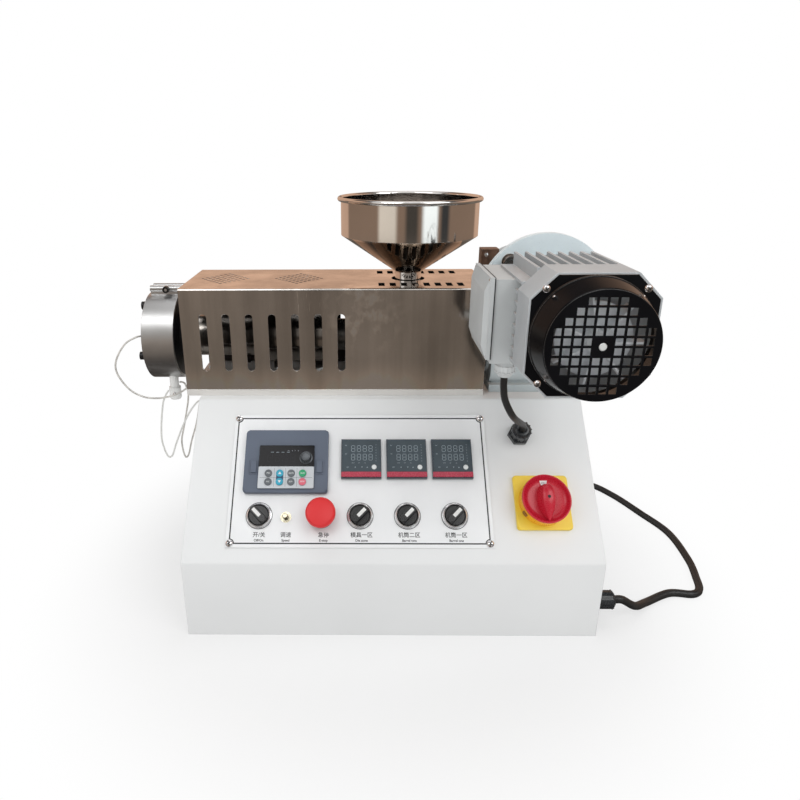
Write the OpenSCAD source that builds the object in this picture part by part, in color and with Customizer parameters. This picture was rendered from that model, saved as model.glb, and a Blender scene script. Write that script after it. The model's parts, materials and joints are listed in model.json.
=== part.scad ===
// Tabletop single screw extruder: a sheet metal cabinet with a sloped
// instrument panel carries a heated barrel under a stainless cover, a feed
// hopper, a worm gear unit and a fan cooled motor.
// Frame: origin at the middle of the cabinet's underside, +X to the drive
// end, +Y to the back, +Z up. Millimetres.

/* [Cabinet] */
// width of the cabinet
cab_w = 500; // [460:1:560]
// depth of the cabinet, front to back
cab_d = 330; // [320:1:400]
// height of the upright front face
front_h = 103; // [80:1:130]
// length of the sloped panel
slope_len = 210; // [200:1:240]
// angle of the sloped panel from level
slope_a = 46; // [40:1:50]
// thickness of the cabinet's sheet metal
sheet = 2; // [1.5:0.5:3]
// outside radius of the folds
fold_r = 5; // [4:0.5:10]

/* [Instrument plate] */
// width of the instrument plate
plate_w = 321; // [310:1:330]
// height of the instrument plate up the slope
plate_h = 168; // [160:1:172]
// thickness of the instrument plate
plate_t = 1.5; // [1:0.5:3]
// middle of the instrument plate, left to right
plate_x = -39; // [-50:1:-30]
// radius of the domed plate screws
plate_screw_r = 4.5; // [3:0.5:5]
// width and height of a temperature controller's bezel
ctrl_bezel = 50; // [48:1:53]
// width and height of a temperature controller's body
ctrl_body = 44.5; // [42:0.5:45.5]
// distance from one controller to the next
ctrl_pitch = 56.6; // [56:0.1:60]
// width of the drive keypad's frame
pad_frame_w = 104; // [96:1:108]
// height of the drive keypad's frame
pad_frame_h = 80; // [76:1:86]
// width of the drive keypad
pad_w = 68.5; // [64:0.5:76]
// height of the drive keypad
pad_h = 54.5; // [50:0.5:60]
// radius of a selector's bezel
bezel_r = 15.7; // [15:0.1:17]
// radius of a selector's knob
sel_knob_r = 12.5; // [11:0.5:13]
// radius of a selector knob's spindle
sel_pin_r = 4; // [3:0.5:6]
// radius of the emergency stop button's head
stop_head_r = 18; // [17:0.5:21]
// radius of the emergency stop button's stem
stop_stem_r = 8; // [6:0.5:10]
// side of the main switch's square plate
main_plate = 66; // [62:1:72]
// radius of the main switch's knob
main_knob_r = 29; // [24:0.5:30]
// radius of the main switch's spindle
main_pin_r = 6; // [5:0.5:9]

/* [Barrel] */
// height of the barrel's axis above the cabinet's top
barrel_up = 65; // [64:1:68]
// distance of the barrel's axis behind the top's front edge
barrel_in = 82; // [80:1:90]
// how far the stainless cover stands out past the cabinet's left side
cover_over = 19; // [15:1:25]
// depth of the stainless cover
cover_w = 137; // [130:1:140]
// height of the stainless cover
cover_h = 141; // [138:1:144]
// thickness of the cover's sheet
cover_t = 1.5; // [1:0.5:2]
// outside radius of the cover's folds
cover_fold = 2.5; // [2:0.5:4]
// outside radius of the barrel
barrel_r = 22; // [20:1:24]
// radius of the barrel's bore
bore_r = 10; // [9:0.5:11]
// radius at the screw's root
root_r = 6; // [5:0.5:7]
// lead of the screw's thread
screw_lead = 20; // [18:1:24]
// outside radius of the die's band heater
die_r = 60; // [57:0.5:61]
// width of the die's band heater
die_w = 42; // [38:1:44]
// thickness of the die's band heater
die_band_t = 4; // [3:0.5:6]

/* [Hopper] */
// distance from the cover's right end back to the hopper's axis
hopper_in = 98; // [90:1:104]
// radius of the hopper's upper cylinder
hopper_r = 90; // [84:1:94]
// height of the hopper's rim above the cabinet's top
rim_up = 252; // [244:1:259]
// height of the hopper's upper cylinder
hopper_cyl_h = 46; // [40:1:50]
// height of the hopper's cone
hopper_cone_h = 49; // [45:1:53]
// outside radius of the hopper's neck
neck_r = 17.8; // [16:0.1:20]
// thickness of the hopper's sheet
hopper_t = 1.5; // [1:0.5:2]
// radius of the hopper's rolled rim
rim_r = 3; // [2.5:0.5:4]

/* [Drive] */
// distance from the cabinet's right side in to the drive's axis
drive_in = 68; // [64:1:70]
// height of the motor's axis above the cabinet's top
motor_up = 140; // [136:1:144]
// half the length of the gear unit along the barrel
gear_half = 55; // [50:1:60]
// side of the gear unit's housing
gear_side = 114; // [100:1:116]
// radius of the motor's mounting flange
flange_r = 77; // [74:1:82]
// half the width of the motor's octagonal body
motor_a = 62; // [60:1:65]
// radius of the fan cowl at its foot
cowl_r = 60; // [57:0.5:60.5]
// radius of the fan cowl's front face
cowl_front_r = 53; // [51:0.5:54]
// length of the fan cowl
cowl_len = 33; // [31:1:38]
// thickness of the fan cowl
cowl_t = 1.5; // [1:0.5:2]
// radius of the fan
fan_r = 45; // [40:0.5:46]
// radius of the motor's shaft where it carries the fan
shaft_r = 6; // [5:0.5:8]
// side of a square hole in the grille
grille_hole = 7.3; // [6.5:0.1:8]
// distance from one grille hole to the next
grille_pitch = 9.4; // [9:0.1:9.6]

/* [Cords] */
// diameter of the mains cord
mains_d = 10; // [8:0.5:11]
// diameter of the motor's cable
cable_d = 8; // [6:0.5:9]
// diameter of a heater lead
lead_d = 2.4; // [1.8:0.1:3]

/* [Hidden] */
$fn = 48;
y_front = -cab_d / 2;
side_x = cab_w / 2;
rise = slope_len * sin(slope_a);
run = slope_len * cos(slope_a);
top_z = front_h + rise;
seat_c = 0.02;
main_collar_h = 12;
main_box_w = 46;
main_box_h = 34;
snug = 0.3;
run_c = 0.05;
cord_c = 0.6;
fold_steps = 6;

// places on the sloped panel: x across, s up the slope
plate_s = slope_len / 2 - 2;
row_s = plate_s - 46.2;
ctrl_s = plate_s + 24;
ctrl_x = [for (i = [0 : 2]) plate_x + 2.2 + i * ctrl_pitch];
pad_pos = [plate_x - 91, plate_s + 20.5];
keypad_pos = [plate_x - 90.3, plate_s + 12.3];
knob_off = [24, 11];
button_r = 4.6;
button_pos = [-21.6, -8.7];
button_pitch = [14, 10.6];
sel_x = [plate_x - 121.8, plate_x + 0.7, plate_x + 58, plate_x + 115.2];
sel_rest = [45, -45, -45, -45];
pot_x = plate_x - 89.1;
pot_s = row_s - 1.8;
stop_x = plate_x - 46.1;
stop_lift = 14;
main_pos = [side_x - 67, slope_len / 2 - 32];
panel_hole_r = 11.2;
panel_depth = 41;
pot_hole_r = 5;
gland_hole_r = 8.2;
cutout_c = 1;
pad_lip = 6;
knob_r = 8;

// drive, barrel and hopper, set from the cabinet's right side and top
drive_x = side_x - drive_in;
gear_gap = 2;
tray_t = 3;
cover_x1 = drive_x - gear_half - gear_gap;
cover_x0 = -side_x - cover_over;
cover_len = cover_x1 - cover_x0;
barrel_y = y_front + run + barrel_in;
barrel_z = top_z + barrel_up;
cover_y0 = barrel_y - cover_w / 2;
cover_z0 = top_z + tray_t;
cover_top = cover_z0 + cover_h;
hopper_x = cover_x1 - hopper_in;
rim_z = top_z + rim_up;
motor_z = top_z + motor_up;
slot_n = 7;
slot_w = 10;
slot_l = 76.6;
slot_pitch = 29.7;
slot_x0 = cover_x0 + 28.6;
slot_z = cover_z0 + 69.7;
top_slot = [8, 20];
top_slot_pitch = 14.6;
top_slot_x0 = hopper_x - 37.1;
neck_gap = 4.5;
diamond_pitch = [5.1, 5.6];
lip_t = 1.2;
lip_h = 8;
die_x0 = cover_x0 - 57;
die_bolt_r = 5.5;
die_bolt_pcd = 48.5;
die_bolt_h = 8;
nozzle_r = 4;
clamp_r = 4.2;
clamp_y = 7.5;
clamp_up = 7;
clamp_screw_r = 2.2;
screw_x1 = hopper_x + 43;
screw_gap = 0.2;
barrel_x0 = cover_x0 - 15;
band_r = [29, 37];
band_x = [cover_x0 + 9, cover_x0 + 97];
band_len = [82, 100];
feed_w = 64;
feed_rise = 52;
throat_r = 9;

// motor, from its mounting flange forward
motor_y = barrel_y - 107;
flange_t = 10;
nose_len = 21;
nose_r = [motor_a - 6, motor_a - 12];
body_len = 100;
shield_len = 42;
nose_y = motor_y - nose_len;
body_y = nose_y - body_len;
shield_y = body_y - shield_len;
oct_k = 0.61;
shield_wall = 1.8;
plate2_t = 2;
fin_pitch = 12.4;
fin_t = 3.2;
lug = [22, 20, 25];
lug_pin_r = 4.5;
flange_bolt = 62.5;
grille_rows = [2, 3, 4, 5, 5, 5, 5, 4, 3, 2];
fan_c = 0.05;
cowl_eye_r = 4;
shaft_out = 25;
box_w = 39;
box_l = 88;
box_h = 92;
lid_t = 5;
lid_rise = 5;
box_x0 = drive_x - 85;
box_y0 = motor_y - 96;
box_z0 = motor_z - 50;
box_gland = [box_x0 + 25.5, box_y0 + 14];
box_gland_af = 20;

// glands and cords
gland_pos = [drive_x - 18, slope_len - 50];
gland_side = [25, 34];
tube_sides = 10;
lead_sides = 8;
mains_r = mains_d / 2;
coil_r = 55;
coil_pos = [side_x - 130, cab_d / 2 + 96, 0];

// ---- helpers ----
// places children on the sloped panel: x across, s up the slope, lift outward
module on_slope(x, s, lift = 0)
  translate([x, y_front + s * cos(slope_a), front_h + s * sin(slope_a)])
    rotate([slope_a, 0, 0]) translate([0, 0, lift]) children();

// box centred in x and y, rising from z0
module cbox(w, d, h, z0 = 0) translate([-w / 2, -d / 2, z0]) cube([w, d, h]);

// round bar along +X from x0
module bar_x(r, x0, len) translate([x0, 0, 0]) rotate([0, 90, 0]) cylinder(r = r, h = len);
// round bar along +Y from y0
module bar_y(r, y0, len) translate([0, y0, 0]) rotate([-90, 0, 0]) cylinder(r = r, h = len);

// outline of the cabinet's side in (y, z), shrunk by d and cut at y1 and z0
function arc_points(c, r, a0, a1, n) =
  [for (k = [0 : n]) let (a = a0 + (a1 - a0) * k / n) c + r * [cos(a), sin(a)]];
module side_outline(d, y1, z0) {
  r = fold_r - d;
  t1 = fold_r * tan((90 - slope_a) / 2);
  t2 = fold_r * tan(slope_a / 2);
  polygon(concat(
    [[d, z0]],
    arc_points([fold_r, front_h - t1], r, 180, 90 + slope_a, fold_steps),
    arc_points([run + t2, top_z - fold_r], r, 90 + slope_a, 90, fold_steps),
    [[y1, top_z - d], [y1, z0]]));
}

// extrudes a (y, z) outline across the cabinet from x0 over w
module across(x0, w) translate([x0, y_front, 0]) rotate([90, 0, 90]) linear_extrude(w) children();

module obround(w, len) {
  square([w, len - w], center = true);
  translate([0, (len - w) / 2]) circle(r = w / 2);
  translate([0, -(len - w) / 2]) circle(r = w / 2);
}

module octagon(a, k = oct_k) polygon([
  [-a, -k * a], [-k * a, -a], [k * a, -a], [a, -k * a],
  [a, k * a], [k * a, a], [-k * a, a], [-a, k * a]]);

// octagonal or other outline in (x, z) extruded along +Y from y0
module along_y(y0, len) translate([drive_x, y0 + len, motor_z])
  rotate([90, 0, 0]) linear_extrude(len) children();

// all holes cut through the slope behind the instruments
module slope_cutouts() {
  for (x = ctrl_x)
    on_slope(x, ctrl_s, -20) cbox(ctrl_body + cutout_c, ctrl_body + cutout_c, 40);
  on_slope(keypad_pos[0], keypad_pos[1], -20) cbox(pad_w + cutout_c, pad_h + cutout_c, 40);
  for (x = concat(sel_x, [stop_x])) on_slope(x, row_s, -20) cylinder(r = panel_hole_r, h = 40);
  on_slope(pot_x, pot_s, -20) cylinder(r = pot_hole_r, h = 40);
}

// ---- cord helper: one closed tube swept along the points ----
function unit(v) = v / max(norm(v), 1e-9);
function tangent(p, i) = unit(p[min(i + 1, len(p) - 1)] - p[max(i - 1, 0)]);
function cat(a, b, c, d, t) =
  0.5 * (2 * b + (c - a) * t + (2 * a - 5 * b + 4 * c - d) * t * t + (3 * b - a - 3 * c + d) * t * t * t);
function smooth(p, n) = [
  for (i = [0 : len(p) - 2]) for (k = [0 : n - 1])
    cat(p[max(i - 1, 0)], p[i], p[i + 1], p[min(i + 2, len(p) - 1)], k / n),
  p[len(p) - 1]];
function frame_u(p, i, u) = unit(u - tangent(p, i) * (u * tangent(p, i)));
function frames(p, i, u) = i >= len(p) ? [] : let (v = frame_u(p, i, u)) concat([v], frames(p, i + 1, v));
module tube(path, d, sides, start = [0, 0, 1]) {
  us = frames(path, 0, start);
  n = len(path);
  pts = [for (i = [0 : n - 1]) let (t = tangent(path, i), u = us[i], w = cross(t, u))
    for (k = [0 : sides - 1]) path[i] + d / 2 * (cos(360 * k / sides) * u + sin(360 * k / sides) * w)];
  faces = concat(
    [[for (k = [0 : sides - 1]) k]],
    [for (i = [0 : n - 2]) for (k = [0 : sides - 1])
      [i * sides + k, (i + 1) * sides + k, (i + 1) * sides + (k + 1) % sides, i * sides + (k + 1) % sides]],
    [[for (k = [sides - 1 : -1 : 0]) (n - 1) * sides + k]]);
  polyhedron(points = pts, faces = faces, convexity = 10);
}

// ---- cabinet ----
module cabinet_wrap() color("whitesmoke") difference() {
  across(-side_x, cab_w) difference() {
    side_outline(0, cab_d, 0);
    side_outline(sheet, cab_d + 1, -1);
  }
  slope_cutouts();
  on_slope(main_pos[0], main_pos[1], -20) cylinder(r = 12, h = 40);
  on_slope(gland_pos[0], gland_pos[1], -20) cylinder(r = gland_hole_r, h = 40);
}

module side_sheet(x0) across(x0, sheet) side_outline(sheet, cab_d, 0);
module side_hole(x0, y, z, r) translate([x0 - 1, y, z]) rotate([0, 90, 0]) cylinder(r = r, h = sheet + 2);
lead_hole = [y_front + 173, top_z - 11];
module cabinet_sides() color("whitesmoke") {
  difference() {
    side_sheet(-side_x);
    side_hole(-side_x, lead_hole[0], lead_hole[1], 4);
  }
  difference() {
    side_sheet(side_x - sheet);
    side_hole(side_x - sheet, y_front + gland_side[0], gland_side[1], gland_hole_r);
  }
}

// back sheet with its vent slots, and the floor folded from it
module cabinet_back_floor() color("whitesmoke") {
  difference() {
    translate([-side_x + sheet, cab_d / 2 - sheet, 0]) cube([cab_w - 2 * sheet, sheet, top_z - sheet]);
    for (i = [-6 : 5]) translate([(i + 0.5) * 24, cab_d / 2 + 1, top_z - 104])
      rotate([90, 0, 0]) linear_extrude(sheet + 2) obround(8, 90);
  }
  translate([-side_x + sheet, y_front + sheet, 0]) cube([cab_w - 2 * sheet, cab_d - sheet - 1, sheet]);
}

// ---- instrument plate ----
module instrument_plate() color("silver") {
  difference() {
    on_slope(plate_x, plate_s, seat_c) cbox(plate_w, plate_h, plate_t - seat_c);
    slope_cutouts();
  }
  for (sx = [-1, 1], sy = [-1, 1])
    on_slope(plate_x + sx * (plate_w / 2 - 5), plate_s + sy * (plate_h / 2 - 5), plate_t - snug) {
      cylinder(r = plate_screw_r, h = 1.3);
      translate([0, 0, 1.3]) cylinder(r1 = plate_screw_r, r2 = plate_screw_r * 0.55, h = 1.2);
    }
}

// holder of the drive keypad: a raised surround with a latch at each side
module keypad_frame() color("slategray") on_slope(pad_pos[0], pad_pos[1], plate_t) {
  off = [keypad_pos[0] - pad_pos[0], keypad_pos[1] - pad_pos[1], 0];
  difference() {
    union() {
      cbox(pad_frame_w, pad_frame_h, 5);
      cbox(pad_frame_w - 8, pad_frame_h - 8, 8);
    }
    translate(off) {
      cbox(pad_w + 0.4, pad_h + 0.4, 20, -1);
      cbox(pad_w + 2 * pad_lip, pad_h + pad_lip, 20, 4);
    }
  }
  for (sx = [-1, 1]) translate(off + [sx * (pad_w / 2 + 7.5), 0, 3.8]) cbox(9, 20, 5.6);
}

module drive_keypad() color("dimgray") on_slope(keypad_pos[0], keypad_pos[1], plate_t) difference() {
  union() {
    cbox(pad_w, pad_h, 26, -16);
    for (i = [0 : 3], j = [0, 1])
      translate([button_pos[0] + button_pitch[0] * i, button_pos[1] - button_pitch[1] * j, 10 - snug])
        cylinder(r = button_r, h = 1.8);
  }
  translate([knob_off[0], knob_off[1], 4]) cylinder(r = 3 + run_c, h = 10);
}

module keypad_knob() color("dimgray")
  on_slope(keypad_pos[0] + knob_off[0], keypad_pos[1] + knob_off[1], plate_t) {
    translate([0, 0, 4]) cylinder(r = 3, h = 8);
    translate([0, 0, 11.5]) cylinder(r = knob_r, h = 3);
    translate([0, 0, 14.5]) cylinder(r1 = knob_r - 1, r2 = knob_r - 2, h = 4);
  }

module temperature_controllers() color("darkslategray")
  for (x = ctrl_x) on_slope(x, ctrl_s, plate_t) {
    cbox(ctrl_bezel, ctrl_bezel, 6);
    cbox(ctrl_bezel - 4, ctrl_bezel - 4, 8);
    cbox(ctrl_body, ctrl_body, 71, -70);
  }

// collar and contact block behind the panel, shared by switches and the stop
module panel_stem() {
  translate([0, 0, -8]) cylinder(r = panel_hole_r - snug, h = 9);
  cbox(28, 28, 34, -panel_depth);
}

module selector_bezels() color("gainsboro")
  for (x = sel_x) on_slope(x, row_s, plate_t) difference() {
    union() {
      cylinder(r = bezel_r, h = 3);
      translate([0, 0, 3]) cylinder(r1 = bezel_r, r2 = bezel_r - 1.2, h = 2.5);
      panel_stem();
    }
    translate([0, 0, 2]) cylinder(r = sel_knob_r + 0.8, h = 10);
    translate([0, 0, -10]) cylinder(r = sel_pin_r + run_c, h = 20);
  }

// turning grip of one selector, its pointer at an angle from straight up
module selector_knob(i) color("black") on_slope(sel_x[i], row_s, plate_t) rotate([0, 0, sel_rest[i]]) {
  translate([0, 0, -10]) cylinder(r = sel_pin_r, h = 13);
  translate([0, 0, 2.6]) cylinder(r = sel_knob_r, h = 4);
  translate([0, 0, 6.6]) intersection() {
    cylinder(r = sel_knob_r, h = 9);
    cbox(7.5, 2 * sel_knob_r, 9);
  }
}
module selector_knob_1() selector_knob(0);
module selector_knob_2() selector_knob(1);
module selector_knob_3() selector_knob(2);
module selector_knob_4() selector_knob(3);

module stop_collar() color("dimgray") on_slope(stop_x, row_s, plate_t) difference() {
  union() {
    cylinder(r = 15, h = 4);
    cylinder(r = 12.5, h = 7);
    panel_stem();
  }
  translate([0, 0, -12]) cylinder(r = stop_stem_r + run_c, h = 30);
}

module stop_button() color("red") on_slope(stop_x, row_s, plate_t) {
  translate([0, 0, -6]) cylinder(r = stop_stem_r, h = stop_lift + 7);
  translate([0, 0, stop_lift]) rotate_extrude() polygon([
    [0, 0], [stop_head_r - 1, 0], [stop_head_r, 1.5], [stop_head_r, 4.5], [stop_head_r - 1.5, 7.2],
    [stop_head_r - 5, 9], [stop_head_r - 10, 10.2], [0, 10.8]]);
}

module speed_pot() color("silver") on_slope(pot_x, pot_s, plate_t) {
  cylinder(r = 7, h = 2.4, $fn = 6);
  translate([0, 0, -16]) cylinder(r = pot_hole_r - 0.2, h = 24);
  translate([0, 0, -18]) cylinder(r = 8, h = 12);
  difference() {
    cylinder(r = 3, h = 13);
    translate([0, 0, 11.5]) cbox(8, 1, 3);
  }
}

module main_switch_plate() color("gold") on_slope(main_pos[0], main_pos[1], seat_c) difference() {
  union() {
    cbox(main_plate, main_plate, 5);
    cylinder(r = main_knob_r - 1, h = main_collar_h);
    translate([0, 0, -10]) cylinder(r = 11.8, h = 11);
    cbox(main_box_w, main_box_w, main_box_h, -sheet - 2 * seat_c - main_box_h);
  }
  translate([0, 0, -14]) cylinder(r = main_pin_r + run_c, h = 40);
}

module main_switch_knob() color("red") on_slope(main_pos[0], main_pos[1], seat_c) {
  translate([0, 0, -10]) cylinder(r = main_pin_r, h = main_collar_h + 12);
  translate([0, 0, main_collar_h + 1]) {
    cylinder(r = main_knob_r, h = 6);
    translate([0, 0, 6]) difference() {
      cylinder(r = main_knob_r, h = 7);
      translate([0, 0, 1]) cylinder(r1 = main_knob_r - 4, r2 = main_knob_r - 2, h = 8);
    }
    translate([0, 0, 6]) intersection() {
      cylinder(r = main_knob_r - 1, h = 17);
      hull() {
        cbox(19, 2 * main_knob_r, 2);
        cbox(11, main_knob_r, 17);
      }
    }
  }
}

// ---- glands and the motor cable ----
// cable gland: hexagon and dome nut standing along +Z, hole through
module gland(af, d_in, h1, h2) difference() {
  union() {
    cylinder(r = af / sqrt(3), h = h1, $fn = 6);
    translate([0, 0, h1]) cylinder(r = af / 2, h = h2 * 0.65);
    translate([0, 0, h1 + h2 * 0.65]) cylinder(r1 = af / 2, r2 = af / 2 - 3, h = h2 * 0.35);
    translate([0, 0, -10]) cylinder(r = gland_hole_r - 0.2, h = 11);
  }
  translate([0, 0, -12]) cylinder(r = d_in / 2, h = h1 + h2 + 20);
}

module cable_glands() color("#222222") {
  on_slope(gland_pos[0], gland_pos[1], seat_c) gland(25, cable_d + cord_c, 8, 17);
  translate([side_x + seat_c, y_front + gland_side[0], gland_side[1]])
    rotate([0, 90, 0]) gland(24, mains_d + cord_c, 8, 20);
}

function slope_point(x, s, lift) = [x,
  y_front + s * cos(slope_a) - lift * sin(slope_a), front_h + s * sin(slope_a) + lift * cos(slope_a)];
// from the terminal box's gland in a bow to the panel's gland
module motor_cable() color("#1a1a1a") tube(smooth([
  [box_gland[0], box_gland[1], box_z0 + 2], [box_gland[0], box_gland[1], box_z0 - 23],
  [box_gland[0] + 0.5, box_gland[1], box_z0 - 34], [box_gland[0] + 4, box_gland[1] + 2, box_z0 - 50],
  [gland_pos[0] - 25, box_gland[1] + 10, box_z0 - 73],
  slope_point(gland_pos[0] - 3, gland_pos[1], 38), slope_point(gland_pos[0], gland_pos[1], 26),
  slope_point(gland_pos[0], gland_pos[1], 2)], 5), cable_d, tube_sides);

// ---- barrel ----
// shallow tray with a low lip in front of the cover and one behind it
lip_in = lip_t + seat_c;
module barrel_tray() color("silver") translate([cover_x0, cover_y0 - lip_in, top_z]) {
  cube([cover_len, cover_w + 2 * lip_in, tray_t]);
  for (y = [0, cover_w + 2 * lip_in - lip_t]) translate([0, y, 0]) cube([cover_len, lip_t, lip_h]);
}

module diamond_holes(cx) for (i = [-3 : 3], j = [-3 : 3])
  translate([cx + (i - j) * diamond_pitch[0], barrel_y + (i + j) * diamond_pitch[1], cover_top - 5])
    cbox(4, 3.2, 10);

// outline of the folded cover in (y, z), shrunk by d with its foot at z0
module cover_outline(d, z0) polygon(concat(
  [[cover_y0 + d, z0]],
  arc_points([cover_y0 + cover_fold, cover_top - cover_fold], cover_fold - d, 180, 90, 4),
  arc_points([cover_y0 + cover_w - cover_fold, cover_top - cover_fold], cover_fold - d, 90, 0, 4),
  [[cover_y0 + cover_w - d, z0]]));
module cover_run(x0, len) translate([x0, 0, 0]) rotate([90, 0, 90]) linear_extrude(len) children();
module barrel_cover() color("silver") difference() {
  cover_run(cover_x0, cover_len) cover_outline(0, cover_z0);
  cover_run(cover_x0 - 1, cover_len + 2) cover_outline(cover_t, cover_z0 - 1);
  for (i = [0 : slot_n - 1]) translate([slot_x0 + i * slot_pitch, cover_y0 + cover_w + 5, slot_z])
    rotate([90, 0, 0]) linear_extrude(cover_w + 10) obround(slot_w, slot_l);
  diamond_holes(cover_x0 + 47.2);
  diamond_holes(cover_x0 + 147.7);
  for (i = [0 : 7], sy = [-1, 1])
    translate([top_slot_x0 + top_slot_pitch * i, barrel_y + sy * 42, cover_top - 5])
      cbox(top_slot[0], top_slot[1], 10);
  translate([hopper_x, barrel_y, cover_top - 5]) cylinder(r = neck_r + neck_gap, h = 10);
}

// spun bowl: rolled rim, upper cylinder and cone
hop_z2 = rim_z - rim_r;
hop_z1 = hop_z2 - hopper_cyl_h;
hop_z0 = hop_z1 - hopper_cone_h;
module hopper() color("silver") translate([hopper_x, barrel_y, 0]) {
  t = hopper_t;
  rotate_extrude() polygon([
    [hopper_r - t, hop_z2], [hopper_r, hop_z2], [hopper_r, hop_z1], [neck_r, hop_z0],
    [neck_r - t, hop_z0], [hopper_r - t, hop_z1 + t / 2]]);
  translate([0, 0, hop_z2]) rotate_extrude() translate([hopper_r + rim_r - t, 0]) circle(r = rim_r);
}

// welded neck, from the cone down into the feed block
module hopper_neck() color("silver") translate([hopper_x, barrel_y, barrel_z + feed_rise - 2])
  linear_extrude(hop_z0 - barrel_z - feed_rise + 2) difference() {
    circle(r = neck_r);
    circle(r = neck_r - hopper_t);
  }

module on_barrel() translate([0, barrel_y, barrel_z]) children();

module feed_block() color("gray") on_barrel() difference() {
  union() {
    translate([hopper_x - feed_w / 2, -feed_w / 2, -barrel_up + tray_t])
      cube([feed_w, feed_w, barrel_up - tray_t + feed_rise]);
    bar_x(38, hopper_x + feed_w / 2 - 1, cover_x1 + gear_gap - hopper_x - feed_w / 2 + 1);
  }
  bar_x(barrel_r, hopper_x - feed_w, 4 * feed_w);
  translate([hopper_x, 0, 0]) cylinder(r = neck_r - hopper_t, h = 80);
  translate([hopper_x, 0, feed_rise - 2]) cylinder(r = neck_r, h = 40);
}

module barrel() color("gray") on_barrel() difference() {
  bar_x(barrel_r, barrel_x0, cover_x1 + gear_gap - barrel_x0);
  bar_x(bore_r, barrel_x0 - 6, cover_x1 - barrel_x0 + 40);
  translate([hopper_x, 0, 0]) cylinder(r = throat_r, h = 40);
}

// one solid thread round the root, and the shank in the gear unit
screw_len = screw_x1 - barrel_x0;
thread_r = bore_r - screw_gap;
module screw() color("lightgray") on_barrel() translate([barrel_x0 + 1, 0, 0]) rotate([0, 90, 0]) {
  cylinder(r = root_r, h = screw_len);
  translate([0, 0, screw_len - 1]) cylinder(r = bore_r, h = cover_x1 + gear_gap - screw_x1);
  linear_extrude(height = screw_len, twist = -360 * screw_len / screw_lead,
    slices = round(screw_len / screw_lead * 12), convexity = 10, $fn = 4)
    polygon([[0, 0], thread_r * [cos(17), -sin(17)], [thread_r, 0], thread_r * [cos(17), sin(17)]]);
}

// two band heaters, each with two ceramic terminals below
module heater_bands() color("silver") on_barrel() difference() {
  for (k = [0, 1]) {
    bar_x(band_r[k], band_x[k], band_len[k]);
    for (e = [0.2, 0.74]) translate([band_x[k] + e * band_len[k], 0, -band_r[k] - 9]) cbox(14, 24, 12);
  }
  bar_x(barrel_r, barrel_x0 - 20, cover_len);
}

module die_body() color("dimgray") on_barrel() {
  difference() {
    union() {
      bar_x(die_r - die_band_t, die_x0, die_w - snug);
      bar_x(30, die_x0 + die_w - 1, barrel_x0 - die_x0 - die_w + 18);
    }
    bar_x(nozzle_r, die_x0 - 1, 30);
    bar_x(bore_r, die_x0 + 27, 60);
    bar_x(barrel_r, barrel_x0, 60);
  }
  for (a = [70, 160, 250, 340])
    translate([0, -die_bolt_pcd * cos(a), die_bolt_pcd * sin(a)])
      bar_x(die_bolt_r, die_x0 - die_bolt_h, die_bolt_h + snug);
}

module die_heater() color("silver") on_barrel() difference() {
  union() {
    bar_x(die_r, die_x0, die_w);
    for (sy = [-1, 1]) {
      translate([0, sy * clamp_y, die_r + clamp_up]) bar_x(clamp_r, die_x0 + 3, die_w + 8);
      translate([die_x0 + 3, sy * clamp_y - 1.5, die_r - 1]) cube([die_w - 6, 3, clamp_up + 1]);
    }
    translate([die_x0 + 26, -clamp_y - 9, die_r + clamp_up]) bar_y(clamp_screw_r, 0, 2 * clamp_y + 18);
    translate([die_x0 + 26, -clamp_y - 10, die_r + clamp_up]) bar_y(clamp_screw_r + 2, 0, 5);
  }
  bar_x(die_r - die_band_t, die_x0 - 1, die_w + 2);
}

// ceramic connector under the die's band heater
conn = [die_x0 + 28, barrel_y - 27, barrel_z - 85.5];
module die_connector() color("ivory") difference() {
  translate(conn) {
    cylinder(r1 = 7, r2 = 8, h = 2);
    translate([0, 0, 2]) cylinder(r = 8, h = 15);
    translate([0, 0, 17]) cylinder(r1 = 8, r2 = 6, h = 2);
    cylinder(r = 6, h = 37);
  }
  on_barrel() bar_x(die_r, die_x0 - 1, die_w + 2);
}

// offsets of each lead's points from a place just under the connector
lead_from = [die_x0 + 30, barrel_y - 27, barrel_z - 87];
module lead(offsets) tube(smooth([for (p = offsets) lead_from + p], 4), lead_d, lead_sides);
module thermocouple() color("silver") lead([
  [-30.2, -19, 98], [-34, -19, 98], [-41, -24, 97], [-54, -29, 89], [-67, -31, 68], [-68, -31, 49],
  [-55, -31, 27], [-38, -29, 15], [-20, -25, 11], [-3, -23, 13], [13, -21, 19], [26, -20, 28],
  [34, -18, 26.2]]);
module heater_lead_a() color("white") lead([
  [-11, -2, 13], [-15.5, -1, 7], [-22, 1, -8], [-27, -1, -39], [-27, -6, -63], [-20, -11, -83],
  [-12, -14, -82],
  [-3, -16, -60], [12, -21, -28], [25, -26, -6], [37, -28, 8], [47.5, -28, 10.6]]);
module heater_lead_b() color("silver") lead([
  [4.6, 2, 25], [12, 2, 21.5], [15, 1, 2], [7, -4, -38], [2, -8, -62], [6, -13, -83], [12, -15, -80],
  [19, -17, -57], [30, -21, -26], [37, -24, 2], [40, -25.5, 9], [47.5, -25.6, 12.6]]);

// ---- drive ----
// square with rounded corners in (y, z), extruded along +X from x0
module rounded_x(x0, len, w, h, r) translate([x0, 0, 0]) rotate([90, 0, 90])
  linear_extrude(len) offset(r) square([w - 2 * r, h - 2 * r], center = true);

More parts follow.
